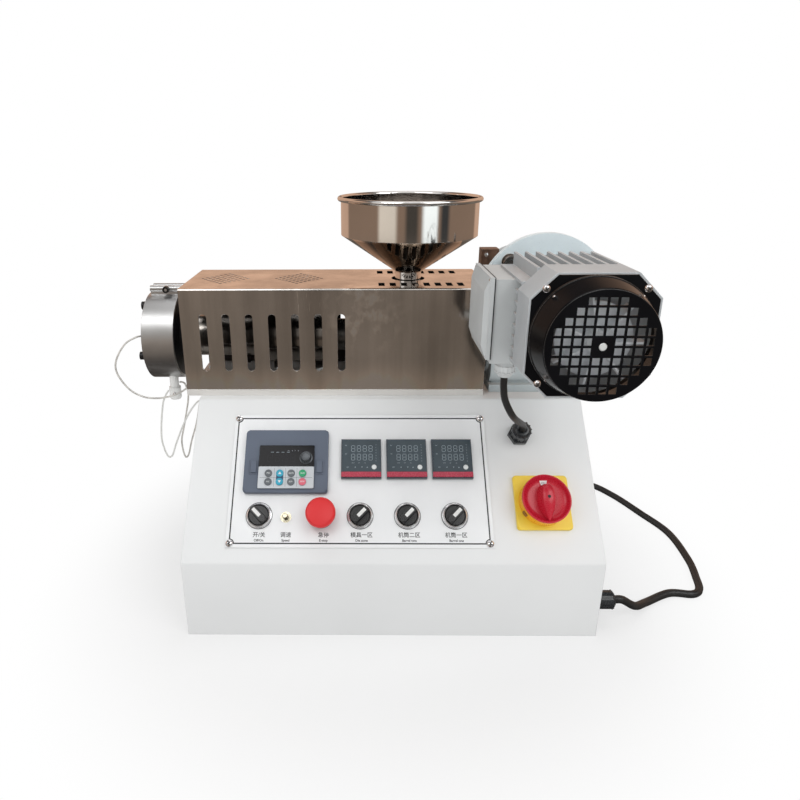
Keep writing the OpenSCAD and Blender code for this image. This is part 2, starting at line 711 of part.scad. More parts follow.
// worm gear unit: housing with a round cover each side, foot, worm tube above
gear_y0 = motor_y + flange_t;
worm_len = barrel_y + gear_side / 2 - gear_y0;
module gearbox() color("lightsteelblue") difference() {
  union() {
    on_barrel() {
      rounded_x(drive_x - gear_half + 9, 2 * gear_half - 18, gear_side, gear_side, 22);
      bar_x(gear_side / 2 - 4, drive_x - gear_half + 5, 2 * gear_half - 10);
      bar_x(38, drive_x - gear_half, 2 * gear_half);
      for (a = [22.5 : 45 : 360], e = [-1, 1])
        translate([drive_x + e * (gear_half - 4) - 1.5, 46 * cos(a), 46 * sin(a)]) bar_x(3.5, 0, 3);
    }
    translate([drive_x - 47, barrel_y - gear_side / 2, top_z + seat_c]) cube([94, gear_side, 10]);
    translate([drive_x - 42, barrel_y - 48, top_z + 9]) cube([84, 96, 30]);
    translate([drive_x, 0, motor_z]) {
      bar_y(36, gear_y0, worm_len);
      bar_y(42, gear_y0, 12);
      bar_y(40, gear_y0 + worm_len - 7, 10);
    }
    translate([drive_x - 40, barrel_y - 44, barrel_z + 20]) cube([80, 88, motor_z - barrel_z + 12]);
    translate([drive_x, barrel_y - 13, motor_z + 33]) {
      translate([-61, -lug[1] / 2, -lug[2] / 2]) cube(lug);
      bar_x(lug_pin_r, -61, 30);
    }
  }
  on_barrel() bar_x(bore_r + snug, drive_x - 80, 160);
}

module flange_bolts() for (a = [45 : 90 : 315])
  translate([drive_x + flange_bolt * cos(a), 0, motor_z + flange_bolt * sin(a)]) children();
module motor_flange() color("lightsteelblue") {
  difference() {
    translate([drive_x, 0, motor_z]) bar_y(flange_r, motor_y, flange_t);
    flange_bolts() bar_y(4.5, motor_y - 1, flange_t + 2);
  }
  flange_bolts() {
    bar_y(4.5, motor_y - 1, flange_t + 1);
    translate([0, motor_y - 7, 0]) rotate([-90, 0, 0]) cylinder(r = 8, h = 7, $fn = 6);
  }
}

// drive end nose, then the core with its cooling fins
fin_reach = motor_a - 3;
module motor_body() color("lightsteelblue") difference() {
  union() {
    translate([drive_x, nose_y - 1, motor_z]) rotate([-90, 0, 0])
      cylinder(r1 = nose_r[0], r2 = nose_r[1], h = nose_len + 1);
    along_y(body_y, body_len) octagon(motor_a - 11);
    along_y(body_y, body_len) {
      for (i = [-3.5 : 3.5], e = [-1, 1])
        translate([i * fin_pitch - fin_t / 2, e * fin_reach / 2 - fin_reach / 2]) square([fin_t, fin_reach]);
      for (i = [-3.5 : 3.5])
        translate([-fin_reach, i * fin_pitch - fin_t / 2]) square([2 * fin_reach, fin_t]);
    }
  }
  translate([box_x0, box_y0, box_z0]) cube([box_w, box_l, box_h]);
}

// octagonal frame with a shallow recess in front for the cowl's plate
module motor_end_shield() color("silver") {
  difference() {
    along_y(shield_y - plate2_t, shield_len + plate2_t) octagon(motor_a);
    along_y(shield_y - plate2_t - 1, plate2_t + 1) octagon(motor_a - shield_wall);
  }
  translate([drive_x, 0, motor_z]) bar_y(shaft_r, shield_y - shaft_out, shaft_out + 1);
}

module fan_cowl() color("#1a1a1a") translate([drive_x, shield_y, motor_z]) rotate([90, 0, 0]) {
  difference() {
    union() {
      linear_extrude(plate2_t) octagon(motor_a - shield_wall - snug);
      rotate_extrude() polygon([
        [0, 0], [cowl_r - shield_wall, 0], [cowl_r, plate2_t], [cowl_r, 4], [cowl_r - 1, 6],
        [cowl_front_r + 1, cowl_len - 2], [cowl_front_r, cowl_len], [0, cowl_len]]);
    }
    translate([0, 0, -1]) rotate_extrude() polygon([
      [0, 0], [cowl_r - shield_wall - cowl_t, 0], [cowl_r - 1 - cowl_t, 6],
      [cowl_front_r + 0.6 - cowl_t, cowl_len - cowl_t], [cowl_front_r - cowl_t, cowl_len + 1 - cowl_t],
      [0, cowl_len + 1 - cowl_t]]);
    cylinder(r = cowl_eye_r, h = cowl_len + 5);
    for (j = [0 : 9]) for (i = [-grille_rows[j] : grille_rows[j] - 1])
      if (!((j == 4 || j == 5) && (i == -1 || i == 0)))
        translate([(i + 0.5) * grille_pitch, (j - 4.5) * grille_pitch, cowl_len - 8])
          cbox(grille_hole, grille_hole, 16);
  }
}

module motor_fan() color("gainsboro") translate([drive_x, shield_y - 6, motor_z])
  rotate([90, 0, 0]) difference() {
  union() {
    cylinder(r = 11, h = 16);
    cylinder(r = fan_r - 8, h = 1.6);
    for (k = [0 : 6]) rotate([0, 0, 360 / 7 * k]) translate([8, -1, 0]) cube([fan_r - 9, 2, 15]);
  }
  translate([0, 0, -1]) cylinder(r = shaft_r + fan_c, h = 30);
}

module junction_box() color("lightgray") difference() {
  union() {
    translate([box_x0 + lid_t, box_y0, box_z0]) cube([box_w - lid_t, box_l, box_h]);
    translate([box_gland[0], box_gland[1], box_z0]) rotate([180, 0, 0])
      gland(box_gland_af, cable_d + cord_c, 5, 14);
  }
  translate([box_gland[0], box_gland[1], box_z0 - 30]) cylinder(r = (cable_d + cord_c) / 2, h = 50);
}

// lid: a flat rim with a raised middle whose long edges are bevelled
module junction_lid() color("lightgray") translate([box_x0, box_y0 - 2, box_z0 + 5]) {
  cube([lid_t, box_l + 2, box_h - 3]);
  hull() {
    translate([-0.1, 1, 1]) cube([0.2, box_l, box_h - 5]);
    translate([-lid_rise, 5, 14]) cube([0.2, box_l - 8, box_h - 32]);
  }
}

// ---- mains cord ----
// out of the side gland, down to the table, round in a loop and behind the cabinet to its coil
mains_exit = [side_x, y_front + gland_side[0], gland_side[1]];
mains_drop = mains_r - gland_side[1];
module mains_cord() color("#1a1a1a") tube(smooth(concat(
  [for (p = [[-6, 0, 0], [28, 0, 0], [38, 0, 0], [60, 10, -18], [84, 30, mains_drop], [122, 48, mains_drop],
    [152, 46, mains_drop], [166, 56, mains_drop], [174, 80, mains_drop], [183, 121, mains_drop],
    [185, 187, mains_drop]]) mains_exit + p],
  [for (p = [[295, -158], [271, -102], [242, -66], [180, -47], [110, -57], [50, -63], [-5, -65]])
    [coil_pos[0] + p[0], coil_pos[1] + p[1], mains_r]]), 5), mains_d, tube_sides);
module mains_coil() color("#1a1a1a") translate(coil_pos) rotate_extrude()
  translate([coil_r - mains_r, 0]) square([mains_d, 3.6 * mains_d]);
// plug with its short tail from the coil's far side
module mains_plug() color("#1a1a1a") translate([coil_pos[0], coil_pos[1] + coil_r + 2 * mains_r, 0]) {
  translate([-60, 0, mains_r]) rotate([0, 90, 0]) cylinder(r = mains_r, h = 60);
  translate([-84, 0, 12]) rotate([0, 90, 0]) cylinder(r1 = 10, r2 = mains_r + 2, h = 26);
  translate([-122, -16, 0]) cube([39, 32, 24]);
  for (sy = [-1, 1]) translate([-139, sy * 8 - 3, 11]) cube([18, 6, 1.6]);
  translate([-143, -0.8, 4]) cube([22, 1.6, 6]);
}

cabinet_wrap();
cabinet_sides();
cabinet_back_floor();
instrument_plate();
keypad_frame();
drive_keypad();
keypad_knob();
temperature_controllers();
selector_bezels();
selector_knob_1();
selector_knob_2();
selector_knob_3();
selector_knob_4();
stop_collar();
stop_button();
speed_pot();
main_switch_plate();
main_switch_knob();
cable_glands();
motor_cable();
barrel_tray();
barrel_cover();
hopper();
hopper_neck();
feed_block();
barrel();
screw();
heater_bands();
die_body();
die_heater();
die_connector();
thermocouple();
heater_lead_a();
heater_lead_b();
gearbox();
motor_flange();
motor_body();
motor_end_shield();
fan_cowl();
motor_fan();
junction_box();
junction_lid();
mains_cord();
mains_coil();
mains_plug();
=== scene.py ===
# %% [markdown]
# # Dressing a tabletop single screw extruder
# The machine is a white sheet metal cabinet with a sloped control panel. On top sit a heated barrel under a
# polished cover, a steel hopper, a die at the left end and a worm gear unit with its motor at the right.
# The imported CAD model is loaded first. It never moves, and every looks-only piece is fitted round it.

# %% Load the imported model
import json
import math
import random

import bmesh
import bpy
from mathutils import Matrix, Vector


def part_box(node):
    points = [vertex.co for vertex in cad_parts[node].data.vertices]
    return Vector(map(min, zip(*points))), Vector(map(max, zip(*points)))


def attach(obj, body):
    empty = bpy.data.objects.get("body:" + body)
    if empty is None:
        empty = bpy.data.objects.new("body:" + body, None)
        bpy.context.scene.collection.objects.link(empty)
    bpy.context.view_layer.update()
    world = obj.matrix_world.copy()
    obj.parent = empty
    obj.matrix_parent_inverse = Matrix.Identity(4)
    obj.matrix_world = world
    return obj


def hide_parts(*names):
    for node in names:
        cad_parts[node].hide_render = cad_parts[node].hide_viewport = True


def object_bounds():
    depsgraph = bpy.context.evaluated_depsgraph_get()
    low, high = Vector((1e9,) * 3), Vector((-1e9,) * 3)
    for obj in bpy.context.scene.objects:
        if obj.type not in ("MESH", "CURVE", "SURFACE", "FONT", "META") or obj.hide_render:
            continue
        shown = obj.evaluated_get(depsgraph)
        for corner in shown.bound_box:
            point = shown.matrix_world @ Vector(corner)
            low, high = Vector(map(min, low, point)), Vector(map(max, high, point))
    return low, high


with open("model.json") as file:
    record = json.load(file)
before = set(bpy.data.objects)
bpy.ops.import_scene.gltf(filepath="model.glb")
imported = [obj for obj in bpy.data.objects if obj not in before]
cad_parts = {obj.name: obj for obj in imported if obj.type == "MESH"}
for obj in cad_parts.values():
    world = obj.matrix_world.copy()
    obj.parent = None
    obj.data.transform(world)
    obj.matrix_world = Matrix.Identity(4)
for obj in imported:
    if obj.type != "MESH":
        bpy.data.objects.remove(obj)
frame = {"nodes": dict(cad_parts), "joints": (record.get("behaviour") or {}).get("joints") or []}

cad_low, cad_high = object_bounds()
MM = 0.001
random.seed(7)
scene = bpy.context.scene
print("CAD box in mm:", [round(v / MM) for v in (cad_high - cad_low)])

# %% [markdown]
# ## Where the sloped panel lies
# Everything on the slope is placed from the joints in the record: a selector's turning axis is the slope's
# normal, and its centre is a point on the sheet. Reading them back is safer than typing angles again.

# %% Panel coordinates
joints = {j["name"]: j for j in frame["joints"]}
panel_normal = Vector(joints["selector_2_turn"]["axis"]).normalized()
panel_up = panel_normal.cross(Vector((1, 0, 0)))
row_point = Vector(joints["selector_2_turn"]["pos_m"])
row_point.x = 0


def on_panel(x, up=0.0, lift=0.0):
    """A place on the slope in metres: x across, up from the row of switches, lift off the sheet."""
    spot = row_point + Vector((x, 0, 0)) + panel_up * up + panel_normal * lift
    turn = Matrix((Vector((1, 0, 0)), panel_up, panel_normal)).transposed().to_4x4()
    return Matrix.Translation(spot) @ turn


print("slope angle:", round(math.degrees(math.acos(panel_normal.z)), 1), "degrees")

# %% [markdown]
# ## Camera
# A photographer would stand a little above the machine, look down about twenty degrees and use a short
# lens. The small lens shift keeps the uprights as they are and only slides the frame.

# %% Camera
def aim(pitch, yaw, roll):
    """A camera's turn from how far it looks down, to the side and leans, in degrees."""
    p, y, r = (math.radians(v) for v in (pitch, yaw, roll))
    ahead = Vector((math.sin(y) * math.cos(p), math.cos(y) * math.cos(p), -math.sin(p)))
    right = Vector((math.cos(y), -math.sin(y), 0))
    down = ahead.cross(right)
    right, down = right * math.cos(r) + down * math.sin(r), down * math.cos(r) - right * math.sin(r)
    return Matrix((right, -down, -ahead)).transposed().to_4x4()


camera = bpy.data.objects.new("camera", bpy.data.cameras.new("camera"))
scene.collection.objects.link(camera)
camera.data.lens = 28.27
camera.data.shift_x, camera.data.shift_y = 0.0589, -0.0361
camera.matrix_world = Matrix.Translation((-0.0371, -0.785, 0.565)) @ aim(19.56, -0.77, 0.32)
scene.camera = camera
print("camera at", [round(v, 3) for v in camera.matrix_world.translation])

# %% [markdown]
# ## A way to make finishes
# Real surfaces are never one flat value: paint drifts in tone, metal keeps its brushing, and edges catch
# light because they are slightly round. One helper builds a material with slow colour drift, a finer grain
# for gloss and bump, and soft edges. The grain can be stretched into brush marks. Its edges can also be
# painted lighter, partly as worn paint and partly as a painted highlight.

# %% Surface finishes helper
def add_node(tree, kind, inputs=None, **values):
    """Adds a shader node, sets its properties, and links or fills its inputs."""
    made = tree.nodes.new(kind)
    for key, value in values.items():
        setattr(made, key, value)
    for key, value in (inputs or {}).items():
        if hasattr(value, "links"):
            tree.links.new(value, made.inputs[key])
        else:
            made.inputs[key].default_value = value
    return made


def ramp_of(node, stops):
    """Fills a colour ramp with (position, colour) stops."""
    ramp = node.color_ramp
    while len(ramp.elements) < len(stops):
        ramp.elements.new(0.5)
    for element, (at, colour) in zip(ramp.elements, stops):
        element.position, element.color = at, (*colour, 1)


def gained(colour, gain, lift=0.0):
    """A colour times a gain, kept at or below white."""
    return [min(1, c * gain + lift) for c in colour]


def surface(name, colour, metal=0.0, rough=0.4, drift=0.06, drift_size=60 * MM, gloss_play=0.08,
            grain=1.2 * MM, depth=0.06, brush=(1, 1, 1), edge=0.0, wear_and_sheen=0.0, coat=0.0, spec=0.5):
    """A procedural finish. Sizes are in metres, brush stretches the grain where a number is below 1."""
    material = bpy.data.materials.new(name)
    material.use_nodes = True
    tree = material.node_tree
    shader = tree.nodes["Principled BSDF"]
    place = add_node(tree, "ShaderNodeTexCoord").outputs["Object"]
    slow = add_node(tree, "ShaderNodeTexNoise", {"Vector": place, "Scale": 1 / drift_size, "Detail": 4})
    tones = add_node(tree, "ShaderNodeValToRGB", {"Fac": slow.outputs["Fac"]})
    ramp_of(tones, [(0.3, gained(colour, 1 - drift)), (0.7, gained(colour, 1 + drift))])
    paint = tones.outputs["Color"]
    stretch = add_node(tree, "ShaderNodeMapping", {"Vector": place, "Scale": [b / grain for b in brush]})
    fine = add_node(tree, "ShaderNodeTexNoise", {"Vector": stretch.outputs["Vector"], "Scale": 1,
                                                 "Detail": 3})
    play = add_node(tree, "ShaderNodeMapRange", {
        "Value": fine.outputs["Fac"], "From Min": 0.3, "From Max": 0.7,
        "To Min": max(0.02, rough - gloss_play), "To Max": min(1, rough + gloss_play)})
    bump = add_node(tree, "ShaderNodeBump", {"Strength": depth, "Distance": 0.2 * MM,
                                             "Height": fine.outputs["Fac"]})
    if edge:
        soft_edge = add_node(tree, "ShaderNodeBevel", {"Radius": edge}, samples=4)
        tree.links.new(soft_edge.outputs["Normal"], bump.inputs["Normal"])
    # Worn paint and painted highlight: the rounded edges are mixed towards a lighter colour.
    if edge and wear_and_sheen:
        true_side = add_node(tree, "ShaderNodeNewGeometry")
        meet = add_node(tree, "ShaderNodeVectorMath", {0: soft_edge.outputs["Normal"],
                                                       1: true_side.outputs["Normal"]},
                        operation="DOT_PRODUCT")
        rim = add_node(tree, "ShaderNodeMapRange", {"Value": meet.outputs["Value"], "From Min": 0.99,
                                                    "From Max": 0.85, "To Max": wear_and_sheen})
        worn_edge_and_highlight = add_node(tree, "ShaderNodeMix", {"Factor": rim.outputs["Result"], "A": paint,
                                                "B": gained(colour, 1.6, 0.12) + [1]}, data_type="RGBA")
        paint = worn_edge_and_highlight.outputs["Result"]
    for socket, source in (("Base Color", paint), ("Roughness", play.outputs["Result"]),
                           ("Normal", bump.outputs["Normal"])):
        tree.links.new(source, shader.inputs[socket])
    for socket, value in (("Metallic", metal), ("Coat Weight", coat), ("Specular IOR Level", spec)):
        shader.inputs[socket].default_value = value
    return material


# %% [markdown]
# ## Ways to make pieces
# Three small makers cover nearly all pieces: a lathe for round ones, a prism for outlines cut from plate,
# and a ribbon for printed lines. Each returns a mesh in its own coordinates, which is then put in place
# and told which body it rides on. Screws with a cross recess come in fours, so they have a maker too.

# %% Mesh makers
def piece(name, bm, finish, at=None, body="machine", angle=35):
    """Turns a built mesh into a named piece with a finish, puts it in place and lets it ride on a body."""
    mesh = bpy.data.meshes.new(name)
    bmesh.ops.recalc_face_normals(bm, faces=bm.faces)
    bm.to_mesh(mesh)
    bm.free()
    mesh.materials.append(finish)
    mesh.shade_smooth()
    mesh.set_sharp_from_angle(angle=math.radians(angle))
    obj = bpy.data.objects.new(name, mesh)
    scene.collection.objects.link(obj)
    obj.matrix_world = at or Matrix()
    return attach(obj, body)


def lathe(profile, steps=64, closed=True):
    """Turns (radius, height) points round the z axis. A closed profile makes a ring, an open one a cap."""
    bm = bmesh.new()
    rings = []
    for r, z in profile:
        if r < 1e-7:
            rings.append([bm.verts.new((0, 0, z))])
        else:
            rings.append([bm.verts.new((r * math.cos(t), r * math.sin(t), z))
                          for t in (2 * math.pi * k / steps for k in range(steps))])
    pairs = list(zip(rings, rings[1:])) + ([(rings[-1], rings[0])] if closed else [])
    for a, b in pairs:
        for k in range(steps):
            corners = [a[k % len(a)], a[(k + 1) % len(a)], b[(k + 1) % len(b)], b[k % len(b)]]
            corners = list(dict.fromkeys(corners))
            if len(corners) > 2:
                bm.faces.new(corners)
    return bm


def prism(outline, z0, z1, bevel=0.0, segments=2):
    """Raises a flat outline from z0 to z1 and rounds its rims."""
    bm = bmesh.new()
    low = [bm.verts.new((x, y, z0)) for x, y in outline]
    high = [bm.verts.new((x, y, z1)) for x, y in outline]
    bm.faces.new(low[::-1])
    bm.faces.new(high)
    for k in range(len(low)):
        bm.faces.new((low[k - 1], low[k], high[k], high[k - 1]))
    if bevel:
        rims = [e for e in bm.edges if all(abs(v.co.z - z1) < 1e-9 for v in e.verts)]
        bmesh.ops.bevel(bm, geom=rims, offset=bevel, segments=segments, affect="EDGES", clamp_overlap=True)
    return bm


def rounded(w, h, r, steps=6, cx=0.0, cy=0.0):
    """The outline of a rectangle with round corners."""
    points = []
    for qx, qy, start in ((1, 1, 0), (-1, 1, 90), (-1, -1, 180), (1, -1, 270)):
        for k in range(steps + 1):
            t = math.radians(start + 90 * k / steps)
            points.append((cx + qx * (w / 2 - r) + r * math.cos(t), cy + qy * (h / 2 - r) + r * math.sin(t)))
    return points


def ribbon(bm, points, width, z=0.0, closed=False):
    """Adds a flat printed line along the points."""
    count = len(points)
    sides = []
    for k, here in enumerate(points):
        before = Vector(points[k - 1] if closed or k else here)
        after = Vector(points[(k + 1) % count] if closed or k + 1 < count else here)
        here = Vector(here)
        a = (here - before).normalized() if (here - before).length > 1e-9 else (after - here).normalized()
        b = (after - here).normalized() if (after - here).length > 1e-9 else a
        mitre = Vector((-(a + b).y, (a + b).x)).normalized()
        reach = width / 2 / max(0.4, mitre.dot(Vector((-a.y, a.x))))
        sides.append([bm.verts.new((*(here + mitre * reach * s), z)) for s in (1, -1)])
    for k in range(count if closed else count - 1):
        a, b = sides[k], sides[(k + 1) % count]
        bm.faces.new((a[0], a[1], b[1], b[0]))
    return bm


def joined(*meshes):
    """Several built meshes as one."""
    whole = bmesh.new()
    for bm in meshes:
        spare = bpy.data.meshes.new("spare")
        bm.to_mesh(spare)
        bm.free()
        whole.from_mesh(spare)
        bpy.data.meshes.remove(spare)
    return whole


def moved(bm, x=0.0, y=0.0, z=0.0, turn=None):
    """The same mesh, turned and then shifted."""
    bmesh.ops.transform(bm, matrix=Matrix.Translation((x, y, z)) @ (turn or Matrix()), verts=bm.verts)
    return bm


def mm(*points):
    """Points typed in millimetres, as metres."""
    return [tuple(v * MM for v in point) for point in points]


def hexagon(r):
    """The outline of a hexagon whose corners lie at a radius."""
    return [(r * math.cos(math.radians(60 * k)), r * math.sin(math.radians(60 * k))) for k in range(6)]


def dome_screw(r, tall):
    """A domed screw head, standing on z = 0 with its foot just below."""
    rise = [(r * math.cos(t), tall * math.sin(t)) for t in (math.pi / 2 * k / 8 for k in range(9))]
    return lathe([(r, -0.3 * MM)] + rise, 40, closed=False)


def cross_slot(r, tall):
    """The cross recess of a domed head: a raised cross painted dark as shade."""
    arms = [rounded(r * 1.05, r * 0.22, r * 0.08), rounded(r * 0.22, r * 1.05, r * 0.08)]
    return joined(*[prism(a, tall * 0.8, tall * 1.015) for a in arms])


def cross_screws(spots, r, tall):
    """Domed heads and their crosses as two meshes. A real screw stops anywhere, so each turn is random."""
    heads, slots = [], []
    for spot in spots:
        turn = Matrix.Rotation(random.uniform(0, 1.5), 4, "Z")
        heads.append(moved(dome_screw(r, tall), *spot, turn))
        slots.append(moved(cross_slot(r, tall), *spot, turn))
    return joined(*heads), joined(*slots)


CORNERS = ((-1, -1), (-1, 1), (1, -1), (1, 1))
print("makers ready")

# %% [markdown]
# ## The cords
# Five cords leave this machine: the mains lead at the right side, the motor's cable, and three braided
# leads at the die. They come first, because a loose cord decides how much room the picture needs. Each is
# a curve through points, with handles set so that it bends as evenly as a real cord, and the spare length
# of the mains lead lies in a coil of a little over two turns behind the cabinet.

# %% Cord helpers
cabinet_low, cabinet_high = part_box("cabinet_wrap")


def cord_curve(name, points, thickness, finish):
    """A round cord through the points, in metres."""
    curve = bpy.data.curves.new(name, "CURVE")
    curve.dimensions = "3D"
    curve.bevel_depth = thickness / 2
    curve.bevel_resolution = 4
    curve.use_fill_caps = True
    curve.resolution_u = 8
    spline = curve.splines.new("BEZIER")
    spline.bezier_points.add(len(points) - 1)
    spots = [Vector(p) for p in points]
    for k, knot in enumerate(spline.bezier_points):
        lean = (spots[min(k + 1, len(spots) - 1)] - spots[max(k - 1, 0)]) / 2
        knot.handle_left_type = knot.handle_right_type = "FREE"
        knot.co, knot.handle_left, knot.handle_right = spots[k], spots[k] - lean / 3, spots[k] + lean / 3
    curve.materials.append(finish)
    obj = bpy.data.objects.new(name, curve)
    scene.collection.objects.link(obj)
    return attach(obj, "machine")


def run_of(obj):
    """The length of a cord's middle line, in metres."""
    return sum(s.calc_length() for s in obj.data.splines)


rubber = surface("black rubber", (0.018, 0.018, 0.018), rough=0.42, drift=0.3, drift_size=30 * MM,
                 grain=2 * MM, depth=0.25)
braid = surface("silver braid", (0.72, 0.7, 0.66), metal=0.3, rough=0.45, drift=0.2, drift_size=8 * MM,
                grain=0.7 * MM, depth=0.2)
glass_sleeve = surface("white glass sleeve", (0.8, 0.8, 0.77), metal=0.1, rough=0.55, drift=0.06,
                       drift_size=6 * MM, grain=0.6 * MM, depth=0.2)

# %% [markdown]
# ### Mains lead
# A ten millimetre rubber lead is stiff: it comes straight out of its gland, sinks to the table, makes one
# wide bend and runs back behind the cabinet. The coil's turns lie on each other, one thickness apart. The
# last stretch comes off the top of the coil and bends down into the plug, which lies at the coil's far side.

# %% Mains lead
LEAD = 10 * MM
lead_exit = Vector((cabinet_high.x, cabinet_low.y + 25 * MM, 34 * MM))
coil_mid = Vector((cabinet_high.x - 130 * MM, cabinet_high.y + 96 * MM, 0))
COIL_R, TURNS, STEPS = 55 * MM, 2.3, 20
table = LEAD / 2
lead_route = [lead_exit + Vector(p) * MM for p in (
    (28, 0, 0), (38, 0, -0.5), (60, 10, -18), (84, 30, -29), (122, 48, -29), (152, 46, -29), (166, 56, -29),
    (174, 80, -29), (183, 121, -29), (185, 187, -29))]
lead_route += [coil_mid + Vector((x, y, 5)) * MM for x, y in (
    (295, -158), (271, -102), (242, -66), (180, -47), (110, -52), (50, -55))]
for k in range(round(TURNS * STEPS) + 1):
    t = -math.pi / 2 - 2 * math.pi * k / STEPS
    lead_route.append(coil_mid + Vector((COIL_R * math.cos(t), COIL_R * math.sin(t),
                                         table + LEAD * k / STEPS)))
lead_route += [coil_mid + Vector(p) * MM for p in (
    (-46.6, 34.6, 28.5), (-47.8, 52.2, 22), (-60.9, 63.8, 14), (-70, 65, 12), (-78, 65, 12))]
mains_lead = cord_curve("mains_lead", lead_route, LEAD, rubber)
print("mains lead:", round(run_of(mains_lead), 3), "m,", len(lead_route), "points")

# %% [markdown]
# The plug is a plain moulded block with a ribbed strain relief and three flat pins. It has no maker's
# shape: its grip is a rounded box, and its mark is left off.

# %% Plug
plug_black = surface("plug moulding", (0.02, 0.02, 0.02), rough=0.38, drift=0.2, depth=0.15, edge=0.8 * MM)
pin_brass = surface("plug pins", (0.78, 0.7, 0.5), metal=1, rough=0.25, drift=0.06, brush=(0.05, 1, 1),
                    edge=0.3 * MM)
plug_spot = coil_mid + Vector((0, 65, 0)) * MM
grip = prism(rounded(39 * MM, 30 * MM, 7 * MM, cx=-102.5 * MM), 0.2 * MM, 24 * MM, 3 * MM, 4)
ribs = []
for k in range(5):
    x = -83 * MM + 5 * MM * k
    r = (10 - 0.8 * k) * MM
    ring = lathe([(5.1 * MM, 0), (r, 0), (r, 3.4 * MM), (r - 1 * MM, 4.4 * MM), (5.1 * MM, 5 * MM)], 32)
    ribs.append(moved(ring, x, 0, 12 * MM, Matrix.Rotation(math.pi / 2, 4, "Y")))
plug = piece("mains_plug_grip", joined(grip, *ribs), plug_black, Matrix.Translation(plug_spot))
pins = [moved(prism(rounded(20 * MM, 6 * MM, 2 * MM, cx=-130 * MM, cy=s * 8 * MM), -0.8 * MM, 0.8 * MM,
                    0.4 * MM), z=12 * MM) for s in (-1, 1)]
pins.append(moved(prism(rounded(24 * MM, 5 * MM, 2 * MM, cx=-131 * MM), -0.8 * MM, 0.8 * MM, 0.4 * MM),
                  z=7 * MM, turn=Matrix.Rotation(math.pi / 2, 4, "X")))
plug_pins = piece("mains_plug_pins", joined(*pins), pin_brass, Matrix.Translation(plug_spot))
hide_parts("mains_cord", "mains_coil")
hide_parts("mains_plug")
print("plug at", [round(v, 3) for v in plug_spot])

# %% [markdown]
# ### Motor cable
# The cable leaves the terminal box's gland pointing down, bows forward and goes into the gland on the
# panel. Both of its ends are in the machine.

# %% Motor cable
CABLE = 8 * MM
box_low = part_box("junction_box")[0]
flange_low, flange_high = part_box("motor_flange")
drive_x = (flange_low.x + flange_high.x) / 2
box_gland = Vector((drive_x - 59.5 * MM, box_low.y + 14 * MM, box_low.z + 19 * MM))
panel_gland_x, panel_gland_up = drive_x - 18 * MM, 103.2 * MM
cable_route = [box_gland + Vector(p) * MM for p in ((0, 0, -19.5), (0, 0, -23), (0.5, 0, -34), (4, 2, -50))]
cable_route.append(Vector((panel_gland_x - 25 * MM, box_gland.y + 10 * MM, box_gland.z - 73 * MM)))
cable_route += [on_panel(panel_gland_x - 3 * MM, panel_gland_up, 38 * MM).translation,
                on_panel(panel_gland_x, panel_gland_up, 24.5 * MM).translation]
motor_cable = cord_curve("motor_cable_run", cable_route, CABLE, rubber)
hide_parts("motor_cable")
print("motor cable:", round(run_of(motor_cable), 3), "m")

# %% [markdown]
# ### Leads at the die
# The thermocouple loops out of the die's face and back under it. The two heater leads hang from the
# ceramic connector in long narrow loops before they go up into the cabinet's side. All three are braided,
# so their grain is coarse and bumpy for their thickness.

# %% Leads at the die
THIN = 2.4 * MM
connector_low, connector_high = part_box("die_connector")
under = Vector(((connector_low.x + connector_high.x) / 2 + 2 * MM, (connector_low.y + connector_high.y) / 2,
                connector_low.z - 1.5 * MM))
loops = {
    "thermocouple": (braid, [
        (-30.2, -19, 98), (-34, -19, 98), (-41, -24, 97), (-54, -29, 89), (-67, -31, 68), (-68, -31, 49),
        (-55, -31, 27), (-38, -29, 15), (-20, -25, 11), (-3, -23, 13), (13, -21, 19), (26, -20, 28),
        (34, -18, 26.2)]),
    "heater_lead_a": (glass_sleeve, [
        (-11, -2, 13), (-15.5, -1, 7), (-22, 1, -8), (-27, -1, -39), (-27, -6, -63), (-20, -11, -83),
        (-12, -14, -82), (-3, -16, -60), (12, -21, -28), (25, -26, -6), (37, -28, 8), (47.5, -28, 10.6)]),
    "heater_lead_b": (braid, [
        (4.6, 2, 25), (12, 2, 21.5), (15, 1, 2), (7, -4, -38), (2, -8, -62), (6, -13, -83), (12, -15, -80),
        (19, -17, -57), (30, -21, -26), (37, -24, 2), (40, -25.5, 9), (47.5, -25.6, 12.6)])}
for node, (finish, offsets) in loops.items():
    route = [under + Vector(p) * MM for p in offsets]
    lead = cord_curve(node + "_run", route, THIN, finish)
    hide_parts(node)
    print(node, "length:", round(run_of(lead), 3), "m")

# %% [markdown]
# ## Studio
# Polished steel shows whatever surrounds it, so half of its look is the room. The world below is a made-up
# workshop that only mirror-like reflections see: brown walls with six plain features in them, a dark floor
# in front, and a wide pale ceiling light ahead of the machine. Each feature is a bearing from straight
# ahead, a width, both in degrees, and a tone. It could also be a picture of a real room, but a few plain
# shapes are easier to move about. Everything else sees plain white, which keeps the floor and the cabinet
# clean.

# %% Room seen by reflections
world = bpy.data.worlds.new("workshop")
scene.world = world
world.use_nodes = True
web = world.node_tree
web.nodes.clear()

